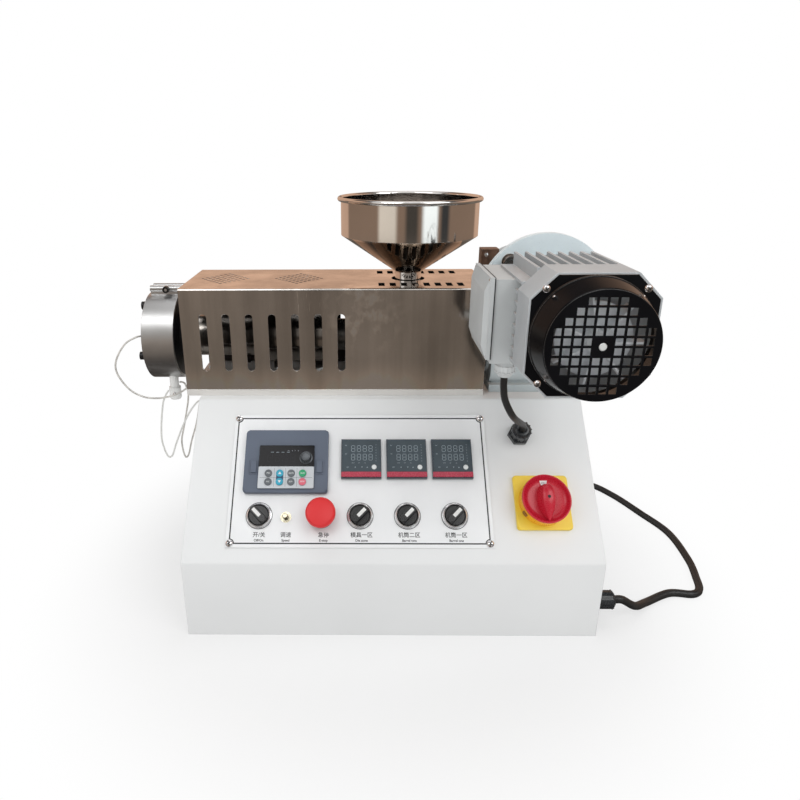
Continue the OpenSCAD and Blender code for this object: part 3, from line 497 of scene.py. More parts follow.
WALL = (0.16, 0.11, 0.08)
room_features = {
    "tan side wall, left": (-150, 50, (0.38, 0.25, 0.18)),
    "pale partition": (-40, 30, (0.48, 0.43, 0.37)),
    "dark doorway": (0, 20, (0.04, 0.035, 0.03)),
    "window": (30, 25, (0.75, 0.8, 0.8)),
    "dark cupboard": (55, 15, (0.03, 0.03, 0.03)),
    "tan side wall, right": (150, 40, (0.38, 0.25, 0.18)),
}
SOFT = 6
walls = [(-180, WALL)]
for bearing, width, tone in room_features.values():
    left, right = bearing - width / 2, bearing + width / 2
    walls += [(left - SOFT / 2, WALL), (left + SOFT / 2, tone), (right - SOFT / 2, tone),
              (right + SOFT / 2, WALL)]
walls.append((180, WALL))
walls.sort(key=lambda stop: stop[0])
ways = add_node(web, "ShaderNodeTexCoord")
split = add_node(web, "ShaderNodeSeparateXYZ", {0: ways.outputs["Generated"]})
ahead = add_node(web, "ShaderNodeMath", {0: split.outputs["Y"], 1: -1.0}, operation="MULTIPLY")
azimuth = add_node(web, "ShaderNodeMath", {0: split.outputs["X"], 1: ahead.outputs[0]},
                   operation="ARCTAN2")
turn = add_node(web, "ShaderNodeMapRange", {"Value": azimuth.outputs[0], "From Min": -math.pi,
                                            "From Max": math.pi})
ring = add_node(web, "ShaderNodeValToRGB", {"Fac": turn.outputs["Result"]})
ramp_of(ring, [((a + 180) / 360, c) for a, c in walls])
print("room ring:", len(walls), "stops,", len(web.nodes), "nodes")

# %% [markdown]
# The ring fills the view near eye level. Below it lies the floor. Above it the wall is plain, grey in front
# and tan behind, so that a flat top never mirrors the window and seems to have a piece missing. Over that is
# the ceiling: bright between about 40 and 68 degrees in front, dark over and behind the machine. Each border
# is a smooth step on the upward part of the direction, which is the sine of the angle above the horizon.

# %% Floor, ceiling and the mix for each kind of ray
def step(value, low, high):
    """A smooth step from 0 at low to 1 at high."""
    return add_node(web, "ShaderNodeMapRange", {"Value": value, "From Min": low, "From Max": high},
                    interpolation_type="SMOOTHSTEP").outputs["Result"]


def blended(factor, below, above):
    """Mixes two colours or outputs by a factor."""
    return add_node(web, "ShaderNodeMix", {"Factor": factor, "A": below, "B": above},
                    data_type="RGBA").outputs["Result"]


up = split.outputs["Z"]
clutter = add_node(web, "ShaderNodeTexNoise", {"Vector": ways.outputs["Generated"], "Scale": 5.0,
                                               "Detail": 3.0})
ground = blended(step(clutter.outputs["Fac"], 0.35, 0.65), (0.1, 0.083, 0.068, 1), (0.14, 0.115, 0.096, 1))
deep = blended(step(up, -0.85, -0.45), (0.03, 0.026, 0.024, 1), ground)
front = step(ahead.outputs[0], 0.05, 0.35)
upper_wall = blended(front, (0.42, 0.27, 0.19, 1), (0.17, 0.16, 0.15, 1))
eye_level = blended(step(up, 0.06, 0.16), ring.outputs["Color"], upper_wall)
level = blended(step(up, -0.175, -0.13), deep, eye_level)
lamps = blended(front, (0.045, 0.04, 0.037, 1), (0.62, 0.62, 0.61, 1))
over = blended(step(up, 0.55, 0.68), level, lamps)
ceiling = blended(step(up, 0.9, 0.97), over, (0.045, 0.04, 0.038, 1))
room = add_node(web, "ShaderNodeBackground", {"Color": ceiling, "Strength": 1.5})
soft = add_node(web, "ShaderNodeBackground", {"Color": (1, 1, 1, 1), "Strength": 0.5})
plain = add_node(web, "ShaderNodeBackground", {"Color": (1, 1, 1, 1), "Strength": 1.0})
path = add_node(web, "ShaderNodeLightPath")
by_gloss = add_node(web, "ShaderNodeMixShader", {0: path.outputs["Is Glossy Ray"], 1: soft.outputs[0],
                                                 2: room.outputs[0]})
by_eye = add_node(web, "ShaderNodeMixShader", {0: path.outputs["Is Camera Ray"], 1: by_gloss.outputs[0],
                                               2: plain.outputs[0]})
add_node(web, "ShaderNodeOutputWorld", {"Surface": by_eye.outputs[0]})
scene.view_settings.view_transform = "Standard"
print("world nodes:", len(web.nodes))

# %% [markdown]
# Three soft lights shape the machine: a large key from above at the right, a weaker fill at the left and a
# top light. A broad strip high in front draws one bright band along the round die. It is large and weak,
# because a small strong one shows as a white hole in the cover's flat top when seen from behind. The floor
# glows to plain white away from the machine, so it has no horizon, and it is hidden from reflections because
# the room above has a floor.

# %% Lights and floor
def softbox(name, at, target, wide, tall, watts):
    """A rectangular light that faces a point and doesn't show itself to the camera."""
    light = bpy.data.lights.new(name, "AREA")
    light.shape, light.size, light.size_y, light.energy = "RECTANGLE", wide, tall, watts
    obj = bpy.data.objects.new(name, light)
    scene.collection.objects.link(obj)
    obj.location = at
    obj.rotation_euler = (Vector(target) - Vector(at)).to_track_quat("-Z", "Y").to_euler()
    obj.visible_camera = False
    return obj


middle = (cad_low + cad_high) / 2
softbox("key_light", (1.3, -1.3, 1.9), middle, 1.5, 1.2, 15)
softbox("fill_light", (-1.5, -1.2, 1.1), middle, 1.0, 1.0, 2.2)
softbox("top_light", (0.0, 0.3, 2.1), middle, 1.6, 1.2, 7)
die_spot = (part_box("die_heater")[0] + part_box("die_heater")[1]) / 2
softbox("die_strip", die_spot + Vector((-0.35, -1.0, 1.25)), die_spot, 0.8, 0.45, 3)

floor_mesh = bmesh.new()
bmesh.ops.create_grid(floor_mesh, x_segments=2, y_segments=2, size=12)
floor_finish = surface("pale floor", (0.9, 0.9, 0.9), rough=0.85, drift=0.01, drift_size=400 * MM,
                       grain=3 * MM, depth=0.02)
tree = floor_finish.node_tree
shader = tree.nodes["Principled BSDF"]
CLEAR_R, WHITE_R = 0.25, 0.5
spread = add_node(tree, "ShaderNodeVectorMath", {0: tree.nodes["Texture Coordinate"].outputs["Object"]},
                  operation="LENGTH")
fade = add_node(tree, "ShaderNodeMapRange", {"Value": spread.outputs["Value"], "From Min": CLEAR_R,
                                             "From Max": WHITE_R, "To Min": 0.45},
                interpolation_type="SMOOTHSTEP")
glow = add_node(tree, "ShaderNodeEmission")
blend = add_node(tree, "ShaderNodeMixShader", {0: fade.outputs["Result"], 1: shader.outputs[0],
                                               2: glow.outputs[0]})
tree.links.new(blend.outputs[0], tree.nodes["Material Output"].inputs["Surface"])
floor = piece("studio_floor", floor_mesh, floor_finish)
floor.parent = None
floor.visible_glossy = False

# %% [markdown]
# ## Finishes for the CAD model's own pieces
# The CAD meshes stay as they are. Each gets a finish, and the finish rounds its edges in the light. Painted
# and cast pieces are barely metallic, so the brown room only colours the polished steel.

# %% Finishes
white_paint = surface("white powder coat", (0.84, 0.85, 0.85), rough=0.34, drift=0.025, drift_size=150 * MM,
                      gloss_play=0.05, grain=1.6 * MM, depth=0.1, edge=1.0 * MM)
plate_steel = surface("brushed plate", (0.84, 0.85, 0.86), metal=0.3, rough=0.45, drift=0.03,
                      drift_size=90 * MM, gloss_play=0.1, grain=0.5 * MM, depth=0.1, brush=(1, 0.03, 0.03),
                      edge=0.4 * MM)
frame_plastic = surface("blue grey plastic", (0.105, 0.13, 0.18), rough=0.46, drift=0.06, depth=0.12,
                        grain=0.8 * MM, edge=0.8 * MM)
dark_face = surface("dark blue plastic", (0.05, 0.068, 0.088), rough=0.3, drift=0.06, depth=0.05,
                    edge=0.6 * MM)
black_gloss = surface("black gloss plastic", (0.012, 0.012, 0.013), rough=0.22, drift=0.3, depth=0.06,
                      edge=0.5 * MM)
chrome = surface("chrome", (0.82, 0.82, 0.84), metal=1, rough=0.08, drift=0.04, gloss_play=0.03, depth=0.02,
                 edge=0.4 * MM)
mirror_steel = surface("polished stainless", (0.8, 0.77, 0.74), metal=1, rough=0.13, drift=0.08,
                       drift_size=70 * MM, gloss_play=0.05, grain=0.7 * MM, depth=0.06,
                       brush=(1, 1, 0.04), edge=0.8 * MM)
spun_steel = surface("spun stainless", (0.82, 0.8, 0.78), metal=1, rough=0.07, drift=0.05,
                     drift_size=60 * MM, gloss_play=0.03, grain=0.6 * MM, depth=0.03, brush=(0.2, 0.2, 2),
                     edge=0.5 * MM)
machined = surface("machined steel", (0.32, 0.31, 0.3), metal=0.9, rough=0.35, drift=0.12,
                   drift_size=25 * MM, gloss_play=0.1, grain=0.6 * MM, depth=0.12, brush=(1, 0.15, 0.15),
                   edge=0.5 * MM)
# The bands inside the cover are darker than the die's band steel: painted shade.
band_steel_shaded = surface("heated band steel", (0.4, 0.37, 0.34), metal=1, rough=0.2, drift=0.15,
                    drift_size=25 * MM, gloss_play=0.06, grain=0.8 * MM, depth=0.08, brush=(1, 0.06, 0.06),
                    edge=0.6 * MM)
tray_steel = surface("satin tray steel", (0.88, 0.86, 0.83), metal=0.35, rough=0.42, drift=0.04,
                     drift_size=60 * MM, depth=0.06, brush=(0.04, 1, 1), edge=0.5 * MM)
die_black = surface("blackened die steel", (0.03, 0.03, 0.032), metal=0.6, rough=0.32, drift=0.15,
                    drift_size=15 * MM, depth=0.1, edge=0.5 * MM)
band_steel = surface("heater band steel", (0.7, 0.7, 0.7), metal=1, rough=0.36, drift=0.05,
                     drift_size=30 * MM, gloss_play=0.02, grain=1.5 * MM, depth=0.002, brush=(1, 0.05, 0.05),
                     edge=0.6 * MM)
glaze = surface("white ceramic", (0.92, 0.92, 0.9), rough=0.25, drift=0.04, depth=0.03, edge=1.0 * MM,
                coat=0.5)
cast_paint = surface("grey blue casting paint", (0.6, 0.65, 0.66), rough=0.42, drift=0.05,
                     drift_size=40 * MM, grain=1.8 * MM, depth=0.25, edge=0.8 * MM, wear_and_sheen=0.2, spec=0.35)
flange_blue = surface("pale blue machined flange", (0.83, 0.93, 0.97), metal=0.05, rough=0.34, drift=0.04,
                      drift_size=50 * MM, depth=0.05, edge=0.8 * MM, wear_and_sheen=0.3, spec=0.4)
motor_alloy = surface("silver motor paint", (0.52, 0.545, 0.56), metal=0.08, rough=0.4, drift=0.07,
                      drift_size=40 * MM, grain=1.2 * MM, depth=0.2, edge=0.8 * MM, wear_and_sheen=0.8, spec=0.4)
box_grey = surface("grey box paint", (0.56, 0.58, 0.58), rough=0.42, drift=0.04, drift_size=40 * MM,
                   depth=0.12, edge=1.0 * MM, wear_and_sheen=0.3, spec=0.4)
fan_plastic = surface("pale fan plastic", (0.9, 0.93, 0.98), rough=0.45, drift=0.06, depth=0.06,
                      edge=0.5 * MM)
cowl_black = surface("black cowl paint", (0.005, 0.005, 0.006), rough=0.2, drift=0.3, gloss_play=0.04,
                     depth=0.04, edge=0.8 * MM, wear_and_sheen=0.05, spec=0.09)

dress = {
    white_paint: ("cabinet_wrap", "cabinet_sides", "cabinet_back_floor"),
    plate_steel: ("instrument_plate",),
    frame_plastic: ("keypad_frame",),
    dark_face: ("drive_keypad", "keypad_knob", "temperature_controllers"),
    black_gloss: (*(f"selector_knob_{k}" for k in (1, 2, 3, 4)), "stop_collar", "cable_glands"),
    chrome: ("selector_bezels", "speed_pot"),
    mirror_steel: ("barrel_cover",),
    tray_steel: ("barrel_tray",),
    spun_steel: ("hopper", "hopper_neck"),
    machined: ("feed_block", "barrel", "screw"),
    die_black: ("die_body",),
    band_steel_shaded: ("heater_bands",),
    band_steel: ("die_heater",),
    glaze: ("die_connector",),
    cast_paint: ("gearbox",),
    flange_blue: ("motor_flange",),
    motor_alloy: ("motor_body", "motor_end_shield"),
    box_grey: ("junction_box", "junction_lid"),
    fan_plastic: ("motor_fan",),
    cowl_black: ("fan_cowl",),
    surface("red plastic", (0.6, 0.02, 0.04), rough=0.3, edge=0.8 * MM): ("stop_button", "main_switch_knob"),
    surface("yellow plastic", (0.95, 0.68, 0.05), rough=0.35, edge=0.8 * MM): ("main_switch_plate",),
}


def dressed(node, finish):
    """Gives a CAD node one finish."""
    slots = frame["nodes"][node].data.materials
    slots.clear()
    slots.append(finish)


for finish, nodes in dress.items():
    for node in nodes:
        dressed(node, finish)
print(sum(len(n) for n in dress.values()), "pieces dressed in", len(dress), "finishes")

# %% [markdown]
# ### Inside of the cover, painted as shade
# The cover is one folded sheet that is polished outside and dull inside. The CAD node is a single mesh, so
# the finish itself tells the two sides apart: whatever lies deeper than half the sheet inside the node's
# box is turned dull and painted near black as shade, and so are the walls of the holes in its top. The slots
# and holes then look into a space made dark by painted shade.

# %% Painted shade inside the cover
def painted_shade_inside(material, node, deep, colour, rough):
    """Makes a finish dull, and dark as painted shade, deeper than a distance inside a node's box."""
    low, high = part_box(node)
    tree = material.node_tree
    shader = tree.nodes["Principled BSDF"]
    place = tree.nodes["Texture Coordinate"].outputs["Object"]
    axes = add_node(tree, "ShaderNodeSeparateXYZ", {0: place}).outputs

    def maths(operation, a, b, c=0.0):
        return add_node(tree, "ShaderNodeMath", {0: a, 1: b, 2: c}, operation=operation).outputs[0]

    from_front = maths("MULTIPLY_ADD", axes["Y"], 1.0, -low.y)
    from_back = maths("MULTIPLY_ADD", axes["Y"], -1.0, high.y)
    from_side = maths("MINIMUM", from_front, from_back)
    from_top = maths("MULTIPLY_ADD", axes["Z"], -1.0, high.z)
    inner = maths("GREATER_THAN", maths("MINIMUM", from_side, from_top), deep)
    # The walls of the holes in the top get the same painted shade.
    hole = maths("MULTIPLY", maths("GREATER_THAN", from_side, 2.6 * MM),
                 maths("GREATER_THAN", from_top, 0.05 * MM))
    hidden = maths("MAXIMUM", inner, hole)
    # Painted shade: the colour goes near black, while roughness and metallic make the inside dull.
    for socket, dull in (("Base Color", (*colour, 1)), ("Roughness", (rough,) * 3 + (1,)),
                         ("Metallic", (0, 0, 0, 1))):
        now = shader.inputs[socket]
        bright = now.links[0].from_socket if now.is_linked else (now.default_value,) * 3 + (1,)
        mix = add_node(tree, "ShaderNodeMix", {"Factor": hidden, "A": bright, "B": dull}, data_type="RGBA")
        tree.links.new(mix.outputs["Result"], now)


cover_steel = mirror_steel.copy()
cover_steel.name = "cover stainless"
painted_shade_inside(cover_steel, "barrel_cover", 0.8 * MM, (0.02, 0.018, 0.016), 0.6)
dressed("barrel_cover", cover_steel)
print("cover finish has", len(cover_steel.node_tree.nodes), "nodes")

# %% [markdown]
# ### Marks of use and a painted reflection on the cover, and painted shade on the hopper's cone
# The cover's front was brushed up and down, so its tone changes in soft upright bands. Towards the foot its
# colour is made lighter, a painted reflection. Hands have left faint smudges beside the slots. The hopper's
# cone is painted darker than the bowl, as painted shade for the dark floor it faces. The drive's seven pieces
# are left out of reflections, so that the polished steel mirrors the room alone and not the motor beside it.

# %% Bands, smudges, a painted reflection at the foot and painted shade on the cone
def tinted(material, factor, gain):
    """Multiplies a finish's colour by a gain where the factor is 1."""
    tree = material.node_tree
    base = tree.nodes["Principled BSDF"].inputs["Base Color"]
    mix = add_node(tree, "ShaderNodeMix", {"Factor": factor, "A": base.links[0].from_socket,
                                           "B": (*gain, 1)},
                   data_type="RGBA", blend_type="MULTIPLY", clamp_result=False)
    tree.links.new(mix.outputs["Result"], base)


def by_height(material, low, high):
    """A factor that rises smoothly with height between two levels, or falls if low is above high."""
    tree = material.node_tree
    place = tree.nodes["Texture Coordinate"].outputs["Object"]
    axes = add_node(tree, "ShaderNodeSeparateXYZ", {0: place})
    return add_node(tree, "ShaderNodeMapRange", {"Value": axes.outputs["Z"], "From Min": low,
                                                 "From Max": high},
                    interpolation_type="SMOOTHSTEP").outputs["Result"]


def patchy(material, scale, low, high, centre=None, reach=1.0):
    """A noise factor between two thresholds. With a centre it fades out within the reach."""
    tree = material.node_tree
    place = tree.nodes["Texture Coordinate"].outputs["Object"]
    stretch = add_node(tree, "ShaderNodeMapping", {"Vector": place, "Scale": scale})
    noise = add_node(tree, "ShaderNodeTexNoise", {"Vector": stretch.outputs["Vector"], "Scale": 1,
                                                  "Detail": 4})
    cut = add_node(tree, "ShaderNodeMapRange", {"Value": noise.outputs["Fac"], "From Min": low,
                                                "From Max": high})
    if centre is None:
        return cut.outputs["Result"]
    away = add_node(tree, "ShaderNodeVectorMath", {0: place, 1: centre}, operation="DISTANCE")
    near = add_node(tree, "ShaderNodeMapRange", {"Value": away.outputs["Value"], "From Min": reach,
                                                 "From Max": reach * 0.4})
    return add_node(tree, "ShaderNodeMath", {0: cut.outputs["Result"], 1: near.outputs["Result"]},
                    operation="MULTIPLY").outputs[0]


cover_low, cover_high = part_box("barrel_cover")
tinted(cover_steel, patchy(cover_steel, (28, 28, 1.2), 0.38, 0.66), (0.72, 0.71, 0.7))
tinted(cover_steel, patchy(cover_steel, (9, 9, 1.5), 0.45, 0.6), (1.25, 1.25, 1.25))
# Painted reflection: the cover's front is made lighter towards its foot.
tinted(cover_steel, by_height(cover_steel, cover_low.z + 50 * MM, cover_low.z), (1.6, 1.55, 1.5))
smear = (cover_low.x + 235 * MM, cover_low.y, cover_low.z + 108 * MM)
tinted(cover_steel, patchy(cover_steel, (70, 70, 50), 0.5, 0.66, smear, 60 * MM), (1.45, 1.45, 1.45))
scratched = (cover_low.x + 165 * MM, cover_low.y, cover_high.z - 16 * MM)
tinted(cover_steel, patchy(cover_steel, (500, 500, 60), 0.62, 0.7, scratched, 30 * MM), (1.5, 1.5, 1.5))
only_top = by_height(cover_steel, cover_high.z - 0.4 * MM, cover_high.z - 0.05 * MM)
tinted(cover_steel, only_top, (1.02, 1, 0.98))
hopper_steel_shaded_cone = spun_steel.copy()
hopper_steel_shaded_cone.name = "hopper stainless"
bowl_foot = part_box("hopper")[0].z + 49 * MM
# Painted shade: the cone is made darker than the bowl.
tinted(hopper_steel_shaded_cone, by_height(hopper_steel_shaded_cone, bowl_foot + 1 * MM, bowl_foot - 4 * MM), (0.34, 0.31, 0.28))
dressed("hopper", hopper_steel_shaded_cone)
for node in ("junction_box", "junction_lid", "motor_body", "motor_end_shield", "fan_cowl", "motor_flange",
             "gearbox"):
    frame["nodes"][node].visible_glossy = False
print("bowl's foot at", round(bowl_foot, 3), "m")

# %% [markdown]
# ## Instrument panel
# Each instrument is read back from its CAD node in the panel's own coordinates: x across, y up the slope
# and z off the sheet. Most of what is on its face is then a fraction of that box, so that it follows the
# CAD model. Small print and screws have sizes of their own.

# %% Panel helpers
def panel_box(node):
    """A node's lowest and highest corner in panel coordinates."""
    back = on_panel(0).inverted()
    spots = [back @ v.co for v in frame["nodes"][node].data.vertices]
    return (Vector([min(s[k] for s in spots) for k in range(3)]),
            Vector([max(s[k] for s in spots) for k in range(3)]))


def words(text, size, x, y, z=0.0, spread=1.0, bold=0.012):
    """Printed lettering as a flat mesh, centred on x and y."""
    made = bpy.data.curves.new("words", "FONT")
    made.body, made.size, made.space_character = text, size, spread
    made.align_x, made.align_y = "CENTER", "CENTER"
    made.resolution_u = 3
    made.offset = size * bold
    obj = bpy.data.objects.new("words", made)
    scene.collection.objects.link(obj)
    bpy.context.view_layer.update()
    mesh = bpy.data.meshes.new_from_object(obj.evaluated_get(bpy.context.evaluated_depsgraph_get()))
    bm = bmesh.new()
    bm.from_mesh(mesh)
    bpy.data.objects.remove(obj)
    bpy.data.meshes.remove(mesh)
    return moved(bm, x, y, z)


def figure(x, y, wide, tall, thick):
    """The seven bars of one display digit, centred on x and y."""
    w, h, g = wide / 2, tall / 2, thick * 0.7
    bars = [((-w + g, s * h), (w - g, s * h)) for s in (-1, 0, 1)]
    bars += [((a * w, b * g), (a * w, b * (h - g))) for a in (-1, 1) for b in (-1, 1)]
    bm = bmesh.new()
    for start, end in bars:
        ribbon(bm, [(x + start[0], y + start[1]), (x + end[0], y + end[1])], thick)
    return bm


def disc(r, z0, z1, edge, steps=40):
    """A round button or cap with a rounded rim."""
    return lathe([(0, z0), (r, z0), (r, z1 - edge), (r - 0.3 * edge, z1 - 0.3 * edge), (r - edge, z1),
                  (0, z1)], steps, closed=False)


plate_lo, plate_hi = panel_box("instrument_plate")
FACE = 1.5 * MM
ink = surface("black print", (0.02, 0.02, 0.022), rough=0.5, drift=0.25, drift_size=6 * MM)
print("plate:", [round(v / MM, 1) for v in plate_hi - plate_lo], "mm")

# %% [markdown]
# ### Plate border, screws and labels
# A printed black line runs round the plate and curves in round each corner screw. The screws are domed and
# bright with a cross recess. Under each switch stands what it does, and nothing else is printed: the place
# for a title stays bare.

# %% Plate border and screws
SCREW_INSET, CORNER_R, PRINT = 5 * MM, 4.9 * MM, FACE + 0.06 * MM
half_w, half_h = (plate_hi.x - plate_lo.x) / 2 - SCREW_INSET, (plate_hi.y - plate_lo.y) / 2 - SCREW_INSET
plate_mid = (plate_lo + plate_hi) / 2
border = []
for sx, sy, start in ((1, 1, 270), (-1, 1, 0), (-1, -1, 90), (1, -1, 180)):
    for k in range(7):
        t = math.radians(start - 15 * k)
        border.append((plate_mid.x + sx * half_w + CORNER_R * math.cos(t),
                       plate_mid.y + sy * half_h + CORNER_R * math.sin(t)))
print_line = piece("plate_border", ribbon(bmesh.new(), border, 1.6 * MM, PRINT, True), ink, on_panel(0))

spots = [(plate_mid.x + sx * half_w, plate_mid.y + sy * half_h, FACE) for sx, sy in CORNERS]
heads, slots = cross_screws(spots, 4.6 * MM, 2.8 * MM)
plate_screws = piece("plate_screws", heads, chrome, on_panel(0))
# Painted shade: screw recesses, the grip's hole and the bezels' foot rings are painted near black.
painted_shade_black = surface("screw recess", (0.03, 0.03, 0.03), metal=0.6, rough=0.5, drift=0.2)
plate_slots = piece("plate_screw_recesses", slots, painted_shade_black, on_panel(0))
print("border of", len(border), "points,", len(spots), "screws")

# %% [markdown]
# ### Labels
# Each label has a large line and a small line below it. Both are words for what the switch does, as on any
# machine. They are placed under the controls, a little to the right as a stencil would drift.

# %% Labels
selector_x = [joints[f"selector_{k}_turn"]["pos_m"][0] for k in (1, 2, 3, 4)]
stop_lo, stop_hi = panel_box("stop_button")
pot_lo, pot_hi = panel_box("speed_pot")
label_x = [selector_x[0], (pot_lo.x + pot_hi.x) / 2, (stop_lo.x + stop_hi.x) / 2] + selector_x[1:]
LARGE, SMALL, LARGE_ROW, SMALL_ROW = 6.6 * MM, 4.0 * MM, -23.0 * MM, -29.3 * MM
drift = (1.3, 0.7, 3.0, 1.8, 1.5, 0.4)
wording = (("开/关", "Off/On"), ("调速", "Speed"), ("急停", "E-stop"), ("模具一区", "Die zone"),
           ("机筒二区", "Barrel two"), ("机筒一区", "Barrel one"))
lines = []
for x, off, (large, small) in zip(label_x, drift, wording):
    lines.append(words(large, LARGE, x + off * MM, LARGE_ROW, PRINT, 1.02))
    lines.append(words(small, SMALL, x + off * MM, SMALL_ROW, PRINT, bold=0.025))
labels = piece("switch_labels", joined(*lines), ink, on_panel(0))
print("labels under", len(label_x), "controls")

# %% [markdown]
# ### Selector switches
# A 22 mm selector has a bright stepped bezel, a black dial and a grip across it. The grip is a bar with
# tapered sides and a white pointer let into its top on one side only. It turns with its own body.

# %% Selector switches
ring_metal = surface("satin chrome ring", (0.84, 0.85, 0.87), metal=0.9, rough=0.2, drift=0.05,
                     gloss_play=0.05, brush=(0.3, 0.3, 2), depth=0.03)
pointer_white = surface("white pointer", (0.82, 0.82, 0.8), rough=0.4, drift=0.04, drift_size=5 * MM)
dial_black = surface("black dial", (0.016, 0.016, 0.017), rough=0.3, drift=0.25, depth=0.05)
BEZEL_R = (selector_x[0] - panel_box("selector_bezels")[0].x) / MM


def bezel():
    """The stepped ring round a switch, standing on the plate."""
    steps = ((0, 0), (0, 1.4), (-0.4, 2.2), (-1.0, 2.5), (-1.4, 4.0), (-1.9, 4.9), (-2.5, 5.2), (-3.0, 4.7),
             (-3.2, 3.0), (-3.2, 0))
    return lathe(mm(*((BEZEL_R + r, z) for r, z in steps)), 72)


rings = [moved(bezel(), x, 0, FACE) for x in selector_x]
rings = piece("selector_rings", joined(*rings), ring_metal, on_panel(0))
# A black ring at each bezel's foot is painted shade round the bezel.
bezel_foot_shade = mm((BEZEL_R - 0.2, 0.05), (BEZEL_R + 0.5, 0.05), (BEZEL_R + 0.5, 0.7), (BEZEL_R - 0.2, 0.9))
bezel_foot_shades = [moved(lathe(bezel_foot_shade, 72), x, 0, FACE) for x in selector_x]
piece("selector_gaskets", joined(*bezel_foot_shades), painted_shade_black, on_panel(0))
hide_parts("selector_bezels")
DIAL_R = (BEZEL_R - 3.2) * MM
for k, x in enumerate(selector_x, 1):
    knob = f"selector_knob_{k}"
    rest = 45 if k == 1 else -45
    at = on_panel(x, 0, FACE) @ Matrix.Rotation(math.radians(rest), 4, "Z")
    dial = lathe([(0, 2 * MM), (DIAL_R - 0.2 * MM, 2 * MM), (DIAL_R - 0.2 * MM, 3.6 * MM),
                  (DIAL_R - 1.2 * MM, 4.4 * MM), (0, 4.8 * MM)], 56, closed=False)
    bar = prism(rounded(9.6 * MM, 2 * DIAL_R - 1.6 * MM, 2.6 * MM), 4 * MM, 13 * MM, 1.2 * MM, 3)
    for v in bar.verts:
        v.co.x *= 1 - 0.2 * (v.co.z - 4 * MM) / (9 * MM)
    grip = piece(f"selector_grip_{k}", joined(dial, bar), dial_black, at, f"selector_{k}")
    mark = prism(rounded(4.2 * MM, 12.5 * MM, 0.5 * MM, cy=2.6 * MM), 12.9 * MM, 13.15 * MM, 0.1 * MM)
    mark = piece(f"selector_pointer_{k}", mark, pointer_white, at, f"selector_{k}")
    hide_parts(knob)
print("selectors of radius", round(BEZEL_R, 1), "mm at x", [round(x / MM) for x in selector_x])

# %% [markdown]
# ### Stop button and speed control
# The stop button's head is a shallow red mushroom with a raised, softly rounded rim. The speed control is
# a bare bright spindle in its nut, with a flat washer under it.

# %% Stop button and speed control
stop_red = surface("stop red", (0.75, 0.03, 0.034), rough=0.38, drift=0.03, drift_size=30 * MM,
                   depth=0.02, gloss_play=0.03, spec=0.4)
STOP_R, top = (stop_hi.x - stop_lo.x) / 2, stop_hi.z - FACE
stop_shape = [(share * STOP_R, top - down * MM) for share, down in (
    (0, 0.5), (0.78, 0.6), (0.83, 0.3), (0.87, 0), (0.93, 0.7), (0.98, 2.1), (1, 4), (1, 7), (0.95, 9),
    (0.8, 10))]
stop_shape += [(8 * MM, top - 10.4 * MM), (8 * MM, 3 * MM), (0, 3 * MM)]
stop_head = piece("stop_mushroom", lathe(stop_shape, 80, closed=False), stop_red,
                  on_panel(label_x[2], 0, FACE), "stop_button", 50)
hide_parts("stop_button")

brass_chrome = surface("yellowed chrome", (0.4, 0.37, 0.28), metal=1, rough=0.14, drift=0.3,
                       drift_size=5 * MM)
nut = prism(hexagon(5.6 * MM), 0.8 * MM, 3.2 * MM, 0.5 * MM)
washer = lathe(mm((3.5, 0), (6.6, 0), (6.6, 0.8), (3.5, 0.8)), 40)
bush = lathe(mm((0, 5.4), (3.3, 5.4), (3.6, 5), (3.6, 3), (0, 3)), 32, closed=False)
stem = lathe(mm((0, 11), (2.5, 11), (3, 10.5), (3, 5), (0, 5)), 32, closed=False)
pot = piece("speed_spindle", joined(nut, washer, bush, stem), brass_chrome,
            on_panel(label_x[1], -1.8 * MM, FACE))
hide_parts("speed_pot")
print("stop head", round(2 * STOP_R / MM, 1), "mm across")

# %% [markdown]
# ### Temperature controllers
# Each controller is a square panel meter: a dark moulded bezel, a smoked window with two rows of unlit
# seven-bar digits, a column of small marks at the right, a row of key marks, one pale round key and a red
# strip along the foot. The strip carries no name.

# %% Temperature controllers
smoked = surface("smoked window", (0.06, 0.08, 0.095), rough=0.16, drift=0.12, drift_size=20 * MM,
                 gloss_play=0.04, depth=0.02, spec=0.3)
ghost = surface("unlit digits", (0.3, 0.36, 0.4), rough=0.35, drift=0.1, drift_size=4 * MM)
pale_key = surface("pale key", (0.78, 0.8, 0.8), rough=0.35, drift=0.04)
strip_red = surface("red strip", (0.46, 0.022, 0.06), rough=0.26, drift=0.08, drift_size=12 * MM, coat=0.4)
ctrl_lo, ctrl_hi = panel_box("temperature_controllers")
SIDE = ctrl_hi.y - ctrl_lo.y
ctrl_mid_y = (ctrl_hi.y + ctrl_lo.y) / 2
ctrl_x = [ctrl_lo.x + SIDE / 2, (ctrl_lo.x + ctrl_hi.x) / 2, ctrl_hi.x - SIDE / 2]
FRONT = ctrl_hi.z
windows, strips, digits, keys = [], [], [], []
